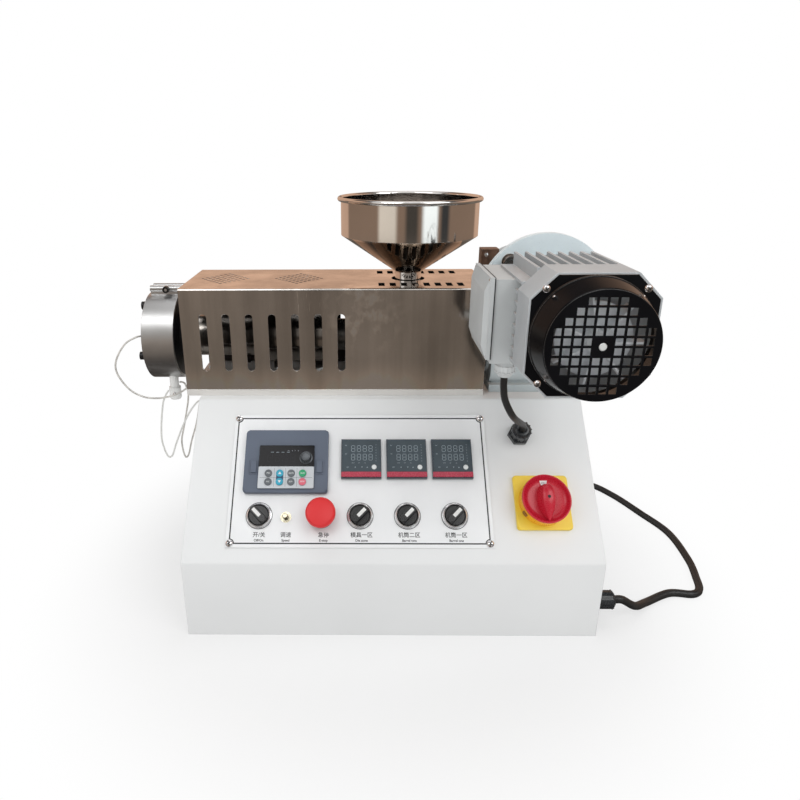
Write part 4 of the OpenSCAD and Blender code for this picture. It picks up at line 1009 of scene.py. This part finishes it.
for x in ctrl_x:
    place = (x, ctrl_mid_y, FRONT)
    windows.append(moved(prism(rounded(SIDE * 0.92, SIDE * 0.8, 1 * MM, cy=SIDE * 0.055), 0, 0.3 * MM,
                               0.15 * MM), *place))
    strips.append(moved(prism(rounded(SIDE * 0.985, SIDE * 0.125, 0.8 * MM, cy=-SIDE * 0.415), -1.5 * MM,
                              0.5 * MM, 0.3 * MM), *place))
    marks = []
    for row in (0.24, 0.02):
        marks += [figure(SIDE * (-0.2 + 0.145 * k), SIDE * row, SIDE * 0.085, SIDE * 0.155, 0.55 * MM)
                  for k in range(4)]
    marks += [words(t, 2.2 * MM, -SIDE * 0.38, SIDE * p) for t, p in (("PV", 0.32), ("SV", 0.1))]
    marks += [words("%", 1.6 * MM, SIDE * 0.37, SIDE * (0.34 - 0.07 * k)) for k in range(7)]
    marks += [words(t, 1.7 * MM, SIDE * p, -SIDE * 0.13)
              for t, p in (("OUT", -0.2), ("AT", -0.05), ("AL", 0.1))]
    marks += [words(t, 2.0 * MM, SIDE * p, -SIDE * 0.24)
              for t, p in (("SET", -0.33), ("◀", -0.15), ("▼", 0.02), ("▲", 0.15))]
    digits.append(moved(joined(*marks), *(Vector(place) + Vector((0, 0, 0.36 * MM)))))
    keys.append(moved(disc(3 * MM, 0, 1 * MM, 0.4 * MM, 32), x + SIDE * 0.32, ctrl_mid_y - SIDE * 0.235,
                      FRONT + 0.2 * MM))
for name, parts, finish in (("controller_windows", windows, smoked), ("controller_strips", strips, strip_red),
                            ("controller_digits", digits, ghost), ("controller_keys", keys, pale_key)):
    piece(name, joined(*parts), finish, on_panel(0))
print("controllers", round(SIDE / MM), "mm square at x", [round(x / MM) for x in ctrl_x])

# %% [markdown]
# ### Drive keypad
# The drive's keypad sits in a blue grey frame with a rounded latch at each side. Its upper half is a black
# window with a small knurled knob, and its lower half is a pale panel with two rows of round keys. The two
# arrow keys are cyan and share a dark blue bridge, the run key is green and the stop key pink.

# %% Drive keypad
pad_lo, pad_hi = panel_box("drive_keypad")
pad_mid_x, pad_w, pad_h = (pad_lo.x + pad_hi.x) / 2, pad_hi.x - pad_lo.x, pad_hi.y - pad_lo.y
PAD = pad_hi.z - 1.5 * MM
split_y = pad_lo.y + pad_h * 0.5
window_black = surface("keypad window", (0.003, 0.003, 0.005), rough=0.1, drift=0.3, gloss_play=0.03,
                       depth=0.01, spec=0.15)
pad_grey = surface("keypad foil", (0.6, 0.63, 0.66), rough=0.42, drift=0.04, drift_size=20 * MM, depth=0.04)
key_grey = surface("grey keys", (0.13, 0.145, 0.16), rough=0.42, drift=0.1, depth=0.05)
key_cyan = surface("cyan keys", (0.03, 0.38, 0.55), rough=0.35, drift=0.12, drift_size=4 * MM)
key_bridge = surface("dark blue bridge", (0.004, 0.06, 0.14), rough=0.35, drift=0.1)
key_green = surface("green key", (0.03, 0.36, 0.16), rough=0.38, drift=0.08)
key_pink = surface("pink key", (0.72, 0.14, 0.2), rough=0.38, drift=0.08)
glyph = surface("key marks", (0.78, 0.8, 0.8), rough=0.45, drift=0.04)
faint = surface("faint display marks", (0.26, 0.28, 0.31), rough=0.4, drift=0.2, drift_size=4 * MM)

THIN_PRINT = PAD + 0.54 * MM
for name, low_y, high_y, finish in (("keypad_window", split_y, pad_hi.y, window_black),
                                    ("keypad_foil", pad_lo.y, split_y, pad_grey)):
    half = prism(rounded(pad_w, high_y - low_y, 1 * MM, cx=pad_mid_x, cy=(high_y + low_y) / 2), PAD,
                 PAD + 0.5 * MM, 0.3 * MM)
    piece(name, half, finish, on_panel(0))
pad_mid_y = (pad_lo.y + pad_hi.y) / 2
key_x = [pad_mid_x + (-21.6 + 14 * k) * MM for k in range(4)]
key_y = [pad_mid_y - 8.7 * MM, pad_mid_y - 19.3 * MM]
KEY_Z = PAD + 0.45 * MM
kinds = {key_grey: [(0, 0), (0, 1), (2, 0), (2, 1)], key_cyan: [(1, 0), (1, 1)], key_green: [(3, 0)],
         key_pink: [(3, 1)]}
for finish, spots in kinds.items():
    caps = [moved(disc(4.6 * MM, 0, 1.3 * MM, 0.5 * MM), key_x[c], key_y[r], KEY_Z) for c, r in spots]
    piece("keys_" + finish.name.split()[0], joined(*caps), finish, on_panel(0))
bridge = prism(rounded(8.6 * MM, key_y[0] - key_y[1], 1 * MM, cx=key_x[1], cy=sum(key_y) / 2), KEY_Z,
               KEY_Z + 0.8 * MM, 0.3 * MM)
piece("keypad_bridge", bridge, key_bridge, on_panel(0))
captions = (("PRG", "▲", "DATA", "RUN"), ("ESC", "▼", "JOG", "STOP"))
marks = [words(t, (4.2 if t in "▲▼" else 2.3) * MM, key_x[c], key_y[r], KEY_Z + 1.34 * MM)
         for r, row in enumerate(captions) for c, t in enumerate(row)]
grid = bmesh.new()
ribbon(grid, [(pad_lo.x + 2 * MM, sum(key_y) / 2), (pad_hi.x - 2 * MM, sum(key_y) / 2)], 0.35 * MM,
       THIN_PRINT)
for left, right in zip(key_x, key_x[1:]):
    x = (left + right) / 2
    ribbon(grid, [(x, pad_lo.y + 2 * MM), (x, split_y - 2 * MM)], 0.35 * MM, THIN_PRINT)
piece("key_captions", joined(*marks), glyph, on_panel(0))
piece("keypad_grid", grid, key_grey, on_panel(0))
shown = [figure(pad_mid_x + (-21 + 9.5 * k) * MM, split_y + pad_h * 0.2, 5.4 * MM, 9.6 * MM, 0.5 * MM)
         for k in range(4)]
dashes = bmesh.new()
for k in range(4):
    x = pad_mid_x + (-20 + 6.6 * k) * MM
    ribbon(dashes, [(x, split_y + pad_h * 0.335), (x + 3.6 * MM, split_y + pad_h * 0.335)], 0.6 * MM,
           THIN_PRINT)
piece("keypad_dashes", dashes, ghost, on_panel(0))
small = [words(t, 2.2 * MM, pad_mid_x + p * MM, pad_hi.y - pad_h * 0.13)
         for t, p in (("Hz", 2), ("A", 6.5), ("V", 10), ("%", 14))]
unlit = surface("ghost digits", (0.012, 0.012, 0.016), rough=0.2, drift=0.3, spec=0.2)
for name, meshes, finish in (("keypad_digits", shown, unlit), ("keypad_units", small, faint)):
    piece(name, moved(joined(*meshes), z=PAD + 0.53 * MM), finish, on_panel(0))
print("keypad", round(pad_w / MM), "by", round(pad_h / MM), "mm")

# %% [markdown]
# ### Keypad knob and frame
# The small knob is knurled with a dished top, so its side is built ring by ring with every second point
# pulled in. The frame is a thick slab with soft rims, and the two latches are low pads that melt into it.

# %% Keypad knob and frame
knob_at = Vector(joints["keypad_knob_turn"]["pos_m"])
knob_spot = on_panel(0).inverted() @ knob_at
knob_lo, knob_hi = panel_box("keypad_knob")
KNOB_R, rise = (knob_hi.x - knob_lo.x) / 2, knob_hi.z - PAD
knurled = bmesh.new()
turns = 72
loops = []
for z, share, cut in ((0.6 * MM, 1.0, 0), (1.6 * MM, 1.0, 0), (1.9 * MM, 0.9, 1), (rise - 1 * MM, 0.76, 1),
                      (rise, 0.66, 0)):
    loops.append([])
    for k in range(turns):
        r, t = KNOB_R * share * (1 - 0.06 * cut * (k % 2)), 2 * math.pi * k / turns
        loops[-1].append(knurled.verts.new((r * math.cos(t), r * math.sin(t), z)))
for a, b in zip(loops, loops[1:]):
    for k in range(turns):
        knurled.faces.new((a[k], a[(k + 1) % turns], b[(k + 1) % turns], b[k]))
knurled.faces.new(loops[0][::-1])
dish = lathe([(KNOB_R * 0.66, rise), (KNOB_R * 0.55, rise - 0.1 * MM), (KNOB_R * 0.48, rise - 0.7 * MM),
              (0, rise - 0.9 * MM)], turns, closed=False)
knob_metal = surface("dark grey knob", (0.11, 0.12, 0.13), metal=0.5, rough=0.3, drift=0.1, gloss_play=0.08)
knob = piece("keypad_knurled_knob", joined(knurled, dish), knob_metal,
             on_panel(knob_spot.x, knob_spot.y, PAD), "keypad_knob", 25)
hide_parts("keypad_knob")

edge_lo, edge_hi = panel_box("keypad_frame")
frame_mid = (edge_lo + edge_hi) / 2
slab = prism(rounded(edge_hi.x - edge_lo.x, edge_hi.y - edge_lo.y, 3.5 * MM, cx=frame_mid.x,
                     cy=frame_mid.y), 0.1 * MM, edge_hi.z - FACE - 1.5 * MM, 1.8 * MM, 4)
latches = [moved(prism(rounded(11.5 * MM, 19 * MM, 2.4 * MM, 4, cx=pad_mid_x + s * (pad_w / 2 + 6.6 * MM),
                               cy=pad_mid_y), 0, 3.4 * MM, 2.2 * MM, 6),
                 z=edge_hi.z - FACE - 2.4 * MM) for s in (-1, 1)]
surround = piece("keypad_surround", joined(slab, *latches), frame_plastic, on_panel(0, 0, FACE))
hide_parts("keypad_frame")
print("knob radius", round(KNOB_R / MM, 1), "mm, frame", round((edge_hi.x - edge_lo.x) / MM), "mm wide")

# %% [markdown]
# ## Main switch
# The main switch has three parts. A yellow square plate carries a yellow collar with a small locking slot at
# its lower left; the collar is coloured darker orange as painted shade, and the slot brown as painted shade.
# In the collar turns a crimson knob: a thin rim round a shallow dish. A grip shaped like a boat stands across
# the dish, and its bow comes down to the rim. A white window in the dish shows ON.

# %% Main switch plate and collar
switch_spot = on_panel(0).inverted() @ Vector(joints["main_switch_turn"]["pos_m"])
main_lo, main_hi = panel_box("main_switch_plate")
main_at = on_panel(switch_spot.x, switch_spot.y)
yellow = surface("yellow plastic moulding", (0.95, 0.7, 0.065), rough=0.36, drift=0.03, drift_size=30 * MM,
                 depth=0.04, edge=0.6 * MM, spec=0.4)
# The collar is the plate's yellow made darker and more orange: painted shade.
collar_yellow_shaded = surface("amber plastic collar", (0.86, 0.4, 0.02), rough=0.3, drift=0.05, drift_size=20 * MM,
                depth=0.03, spec=0.4)
crimson = surface("crimson plastic", (0.6, 0.016, 0.038), rough=0.28, drift=0.05, drift_size=25 * MM,
                  gloss_play=0.03, depth=0.02, spec=0.45)
side = main_hi.x - main_lo.x
base = prism(rounded(side, side, 3.5 * MM), 0.05 * MM, 5 * MM, 1 * MM, 3)
wall = lathe(mm((26, 4), (28.6, 4), (28.6, 20.4), (28, 21), (26.6, 21), (26, 20.4)), 96)
plate_piece = piece("main_switch_base", base, yellow, main_at)
collar_piece = piece("main_switch_collar", wall, collar_yellow_shaded, main_at)
slot_bits = joined(prism(rounded(7 * MM, 9 * MM, 1.5 * MM), 0, 1.2 * MM, 0.5 * MM),
                   moved(prism(rounded(3 * MM, 5 * MM, 1 * MM), 0, 1 * MM, 0.2 * MM), z=0.5 * MM))
LOCK_BEARING, COLLAR_R, LOCK_UP = math.radians(212), 28.2, 11
lock = Vector((math.cos(LOCK_BEARING), math.sin(LOCK_BEARING), 0))
lock_turn = Matrix((Vector((-lock.y, lock.x, 0)), Vector((0, 0, 1)), lock)).transposed().to_4x4()
# The lock slot is painted brown as shade on the yellow moulding.
brown = surface("brown lock slot", (0.28, 0.11, 0.03), rough=0.4, drift=0.3, drift_size=2 * MM)
lock_at = Matrix.Translation(lock * COLLAR_R * MM + Vector((0, 0, LOCK_UP * MM)))
lock_piece = piece("main_switch_lock_slot", slot_bits, brown, main_at @ lock_at @ lock_turn)
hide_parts("main_switch_plate")
print("main switch plate", round(side / MM), "mm square")

# %% [markdown]
# ### Main switch knob
# The dish is turned on a lathe like the collar. The grip isn't round, so it is lofted: a few sections along
# its length, each with a half width at the top and at the foot and a height, are joined by faces. Carving it
# from a block would work too, but the sections keep its bow and its stern easy to change.

# %% Main switch knob
knob_shape = mm((0, 20.4), (20, 20.4), (23.5, 21.2), (25.4, 23), (26.6, 25.4), (27.6, 26), (28.6, 25.8),
                (29, 25.2), (29, 22.2), (28.6, 21.6), (25, 21.6), (25, 13), (0, 13))
dish = lathe(knob_shape, 96, closed=False)
stations = [(17, 2.6, 3.4, 27), (15, 4.6, 6.2, 33.5), (11, 6, 8.8, 35.6), (5, 6.9, 10.4, 36),
            (-2, 7.1, 11, 36), (-8, 6.6, 10.4, 35.4), (-14, 5.3, 8.6, 33.6), (-19, 3.7, 6.2, 31),
            (-23, 2.2, 3.6, 28.3), (-26.2, 0.9, 1.4, 26.3)]
DISH_Z = 20
boat = bmesh.new()
hoops = []
for y, top_half, foot_half, height in stations:
    belly, waist = (top_half + foot_half) / 2 - 0.9, (DISH_Z + height) / 2
    section = [(-foot_half, DISH_Z), (-belly, waist), (-top_half, height - 1.2),
               (-top_half * 0.8, height - 0.2), (0, height), (top_half * 0.8, height - 0.2),
               (top_half, height - 1.2), (belly, waist), (foot_half, DISH_Z)]
    hoops.append([boat.verts.new((x * MM, y * MM, z * MM)) for x, z in section])
for a, b in zip(hoops, hoops[1:]):
    for k in range(len(a)):
        boat.faces.new((a[k - 1], a[k], b[k], b[k - 1]))
boat.faces.new(hoops[0])
boat.faces.new(hoops[-1][::-1])
knob_piece = piece("main_switch_handle", joined(dish, boat), crimson, main_at, "main_switch", 40)
# The hole in the grip is a thin disc painted dark as shade.
hole = piece("main_switch_hole", lathe(mm((0, 0), (1.9, 0), (1.9, 0.12), (0, 0.12)), 32, closed=False),
             painted_shade_black, main_at @ Matrix.Translation((0, 0, 36 * MM)), "main_switch")
show = prism(mm((-5.6, 22.6), (-3.6, 15.4), (1.6, 15.4), (3.8, 22.6)), 20.5 * MM, 21.1 * MM, 0.15 * MM)
show_piece = piece("main_switch_window", show, pointer_white, main_at, "main_switch")
grey_print = surface("grey print", (0.3, 0.28, 0.3), rough=0.5, drift=0.1)
on_word = piece("main_switch_word", words("ON", 3.6 * MM, -0.9 * MM, 19.2 * MM, 21.15 * MM), grey_print,
                main_at, "main_switch")
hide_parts("main_switch_knob")
print("grip of", len(stations), "stations")

# %% [markdown]
# ## Cable glands
# A cable gland is a hexagon nut against the sheet and a fluted dome nut that squeezes a rubber ring round the
# cable. The same maker builds both black glands. The pale one under the terminal box is moulded on the box,
# so only its ribbed nut is added.

# %% Cable glands
def facing(at, normal, over=(0, 0, 1)):
    """A place whose local z axis points along the normal, with y as near as can be to a direction."""
    z = Vector(normal).normalized()
    x = Vector(over).cross(z).normalized()
    return Matrix.Translation(at) @ Matrix((x, z.cross(x), z)).transposed().to_4x4()


def fluted(r, count, dip, z0, z1, bevel):
    """A nut with shallow flutes round it."""
    outline = []
    for k in range(count * 4):
        t, reach = 2 * math.pi * k / (count * 4), r - (dip if k % 4 in (0, 1) else 0)
        outline.append((reach * math.cos(t), reach * math.sin(t)))
    return prism(outline, z0, z1, bevel, 3)


def gland(across, nut, total, bore):
    """A hexagon nut, a fluted dome nut and the rubber ring round the cord. Sizes in mm."""
    foot = prism(hexagon(across / math.sqrt(3) * MM), 0.05 * MM, nut * MM, 0.9 * MM, 3)
    dome = fluted(across * 0.47 * MM, 14, 0.6 * MM, nut * MM, (total - 2.6) * MM, 1.2 * MM)
    crown = lathe(mm((across * 0.44, total - 4), (across * 0.4, total - 1.4), (across * 0.34, total - 0.3),
                     (bore + 1.2, total), (bore + 0.1, total - 0.4), (bore + 0.1, total - 4)), 48)
    return joined(foot, dome, crown)


gland_black = surface("black gland nylon", (0.022, 0.025, 0.028), rough=0.26, drift=0.2, drift_size=8 * MM,
                      depth=0.06, edge=0.4 * MM)
panel_gland = piece("panel_gland", gland(25, 8, 23.5, 4.3), gland_black,
                    on_panel(panel_gland_x, panel_gland_up))
mains_gland = piece("mains_gland", gland(24, 8, 27, 5.3), gland_black, facing(lead_exit, (1, 0, 0)))
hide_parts("cable_glands")
pale_nylon = surface("pale gland nylon", (0.66, 0.68, 0.68), rough=0.4, drift=0.05, drift_size=8 * MM,
                     depth=0.1)
box_nut = fluted(11.3 * MM, 14, 0.7 * MM, 5.5 * MM, 13.5 * MM, 1.4 * MM)
box_ring = piece("box_gland_nut", box_nut, pale_nylon, facing(box_gland, (0, 0, -1), (0, 1, 0)))
print("glands at", [round(v, 3) for v in lead_exit], [round(v, 3) for v in box_gland])

# %% [markdown]
# ## Motor and gear unit
# The small hardware tells the eye what these castings are. Four domed screws sit in the cut corners of the
# end shield, and four rivets hold the cowl, whose two rims are rolled. A dark cap screw with a washer stands
# in each corner of the flange. The bare machined bracket at the gear unit's side has two pins.

# %% Motor hardware
fan_at = Vector(joints["fan_spin"]["pos_m"])
shield_lo, shield_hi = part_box("motor_end_shield")
HALF = (shield_hi.x - shield_lo.x) / 2
CUT_MIDDLE, SCREW_IN, COWL_SIDE_R, FLANGE_BOLT_R = 0.805, 2.8 * MM, 58.3, 62.5 * MM
shield_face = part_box("fan_cowl")[1].y - 2 * MM
corner = CUT_MIDDLE * HALF - SCREW_IN
motor_face = facing((fan_at.x, shield_face, fan_at.z), (0, -1, 0))
heads, slots = cross_screws([(sx * corner, sz * corner, 0) for sx, sz in CORNERS], 3.7 * MM, 2.6 * MM)
rivets = []
for sx, sz in CORNERS:
    out = Vector((sx, sz, 0)).normalized()
    lean = facing(out * COWL_SIDE_R * MM + Vector((0, 0, 6 * MM)), out)
    rivets.append(moved(dome_screw(1.5 * MM, 0.9 * MM), turn=lean))
motor_screws = piece("motor_screws", heads, chrome, motor_face)
motor_slots = piece("motor_screw_recesses", slots, painted_shade_black, motor_face)
cowl_rivets = piece("cowl_rivets", joined(*rivets), chrome, motor_face)
bright_tip = surface("bright shaft end", (0.8, 0.82, 0.8), metal=0.3, rough=0.35, drift=0.05)
tip = lathe(mm((0, 30.9), (3.2, 30.9), (3.7, 30.4), (3.7, 24), (0, 24)), 40, closed=False)
shaft_tip = piece("shaft_end", tip, bright_tip, motor_face)
arcs = []
for r, z in ((59.5, 3.0), (53.0, 30.5)):
    wire = [(r + 0.45 * math.cos(t), z + 0.45 * math.sin(t)) for t in (math.pi * k / 4 for k in range(8))]
    arcs.append(lathe(mm(*wire), 120))
rubbed = surface("rubbed black rims", (0.07, 0.07, 0.07), metal=0.7, rough=0.25, drift=0.3,
                 drift_size=30 * MM)
rolled = piece("cowl_rolled_rims", joined(*arcs), rubbed, motor_face)

dark_steel = surface("oiled dark steel", (0.26, 0.25, 0.24), metal=0.9, rough=0.22, drift=0.25,
                     drift_size=5 * MM, depth=0.05)
bolt = mm((0, 8.6), (3.2, 8.6), (3.2, 6), (3.9, 6), (3.9, 8.9), (7.4, 8.9), (8.3, 8), (8.3, 1.8), (9.3, 1.8),
          (9.3, 0.05), (0, 0.05))
caps = [moved(lathe(bolt, 48, closed=False), sx * FLANGE_BOLT_R / math.sqrt(2),
              sz * FLANGE_BOLT_R / math.sqrt(2)) for sx, sz in CORNERS]
flange_caps = piece("flange_cap_screws", joined(*caps), dark_steel,
                    facing((fan_at.x, flange_low.y + 7 * MM, fan_at.z), (0, -1, 0)))

rust = surface("bare machined bracket", (0.2, 0.12, 0.085), metal=0.75, rough=0.36, drift=0.35,
               drift_size=9 * MM, depth=0.2, edge=0.6 * MM)
barrel_mid = (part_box("barrel")[0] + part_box("barrel")[1]) / 2
bracket_mid = Vector((fan_at.x - 50 * MM, barrel_mid.y - 13 * MM, fan_at.z + 33 * MM))
shell = prism(rounded(22.8 * MM, 20.8 * MM, 1 * MM), -12.9 * MM, 12.9 * MM, 0.8 * MM)
bracket = piece("gear_bracket", shell, rust, Matrix.Translation(bracket_mid))
pins = [moved(disc(2.6 * MM, 0, 1.8 * MM, 0.6 * MM, 28), x, y) for x, y in mm((-5.5, 6), (5.5, -6))]
bracket_pins = piece("gear_bracket_pins", joined(*pins), ring_metal,
                     facing(bracket_mid - Vector((0, 10.4, 0)) * MM, (0, -1, 0)))
print("motor face at y", round(shield_face, 4), "screws at", round(corner / MM, 1), "mm from its middle")

# %% [markdown]
# ## Terminal box
# The lid meets the box on a dark gasket and is held by four small screws near its corners. The gasket is a
# thin frame that stands a hair proud of both halves.

# %% Terminal box gasket and screws
lid_low, lid_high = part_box("junction_lid")
LID_DEEP, LID_SCREW_IN = 10 * MM, 3.4 * MM
box_mid = Vector((lid_low.x + LID_DEEP, (lid_low.y + lid_high.y) / 2, (lid_low.z + lid_high.z) / 2))
wide, tall = lid_high.y - lid_low.y, lid_high.z - lid_low.z
rubber_dark = surface("gasket rubber", (0.03, 0.03, 0.032), rough=0.6, drift=0.1)
seal = piece("box_gasket", prism(rounded(wide + 0.3 * MM, tall + 0.3 * MM, 1.2 * MM), -0.6 * MM, 0.6 * MM),
             rubber_dark, facing(box_mid, (-1, 0, 0)))
lid_heads = [moved(dome_screw(2 * MM, 1.2 * MM), sy * (wide / 2 - LID_SCREW_IN),
                   sz * (tall / 2 - LID_SCREW_IN)) for sy, sz in CORNERS]
box_screws = piece("box_lid_screws", joined(*lid_heads), chrome,
                   facing((lid_low.x + 5 * MM, box_mid.y, box_mid.z), (-1, 0, 0)))
print("lid", round(wide / MM), "by", round(tall / MM), "mm")

# %% [markdown]
# ## Die hardware
# The band heater is drawn tight by a black cap screw through its two bars. The connector's neck has a small
# bright screw. The four cap screws that hold the die together are in the CAD model already.

# %% Die hardware
die_low, die_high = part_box("die_heater")
clamp_z = die_high.z - 4.2 * MM
screw_black = surface("black cap screw", (0.02, 0.02, 0.02), metal=0.5, rough=0.28, drift=0.2, depth=0.05)
cap_shape = mm((0, 3.4), (2, 3.4), (2, 5.6), (3.9, 5.6), (4.5, 5), (4.5, 0), (0, 0))
cap = piece("clamp_cap_screw", lathe(cap_shape, 40, closed=False), screw_black,
            facing((die_low.x + 26 * MM, barrel_mid.y - 12.4 * MM, clamp_z), (0, -1, 0)))
neck = piece("connector_screw", dome_screw(2.4 * MM, 1.6 * MM), chrome, facing(
    ((connector_low.x + connector_high.x) / 2 + 1 * MM, connector_low.y - 0.1 * MM, connector_low.z + 9 * MM),
    (0, -1, 0)))
print("clamp screw at z", round(clamp_z, 3))

# %% [markdown]
# ## Inside the cover
# Through the slots one sees the heater bands. Their terminals are in the CAD model, and white sleeved wires
# run along the front from one terminal to the next. Both ends of each wire are on a terminal, so they are
# made as a rigid piece and not as loose cords.

# %% Wires inside the cover
WIRE_R, SIDES, PARTS = 1.5 * MM, 8, 16
wire_mesh = bmesh.new()
front_y = cover_low.y + 9 * MM
for start, end, z, sag in ((30, 78, -28, 7), (72, 128, -33, 6), (84, 172, -38, 9), (120, 186, -30, 8)):
    knots = []
    for t in (k / PARTS for k in range(PARTS + 1)):
        hang = math.sin(math.pi * t)
        knots.append(Vector((cover_low.x + (start + (end - start) * t) * MM, front_y - 2 * MM * hang,
                             barrel_mid.z + z * MM - sag * MM * hang + 2 * MM * math.sin(9 * t))))
    rings = []
    for k, here in enumerate(knots):
        along = (knots[min(k + 1, PARTS)] - knots[max(k - 1, 0)]).normalized()
        a = along.cross(Vector((0, 0, 1))).normalized()
        b = along.cross(a)
        turns = [2 * math.pi * s / SIDES for s in range(SIDES)]
        rings.append([wire_mesh.verts.new(here + (a * math.cos(t) + b * math.sin(t)) * WIRE_R)
                      for t in turns])
    for p, q in zip(rings, rings[1:]):
        for s in range(SIDES):
            wire_mesh.faces.new((p[s], p[(s + 1) % SIDES], q[(s + 1) % SIDES], q[s]))
    wire_mesh.faces.new(rings[0])
    wire_mesh.faces.new(rings[-1][::-1])
wires = piece("heater_wires", wire_mesh, pointer_white)
print("wires in front of the bands at y", round(front_y, 3))
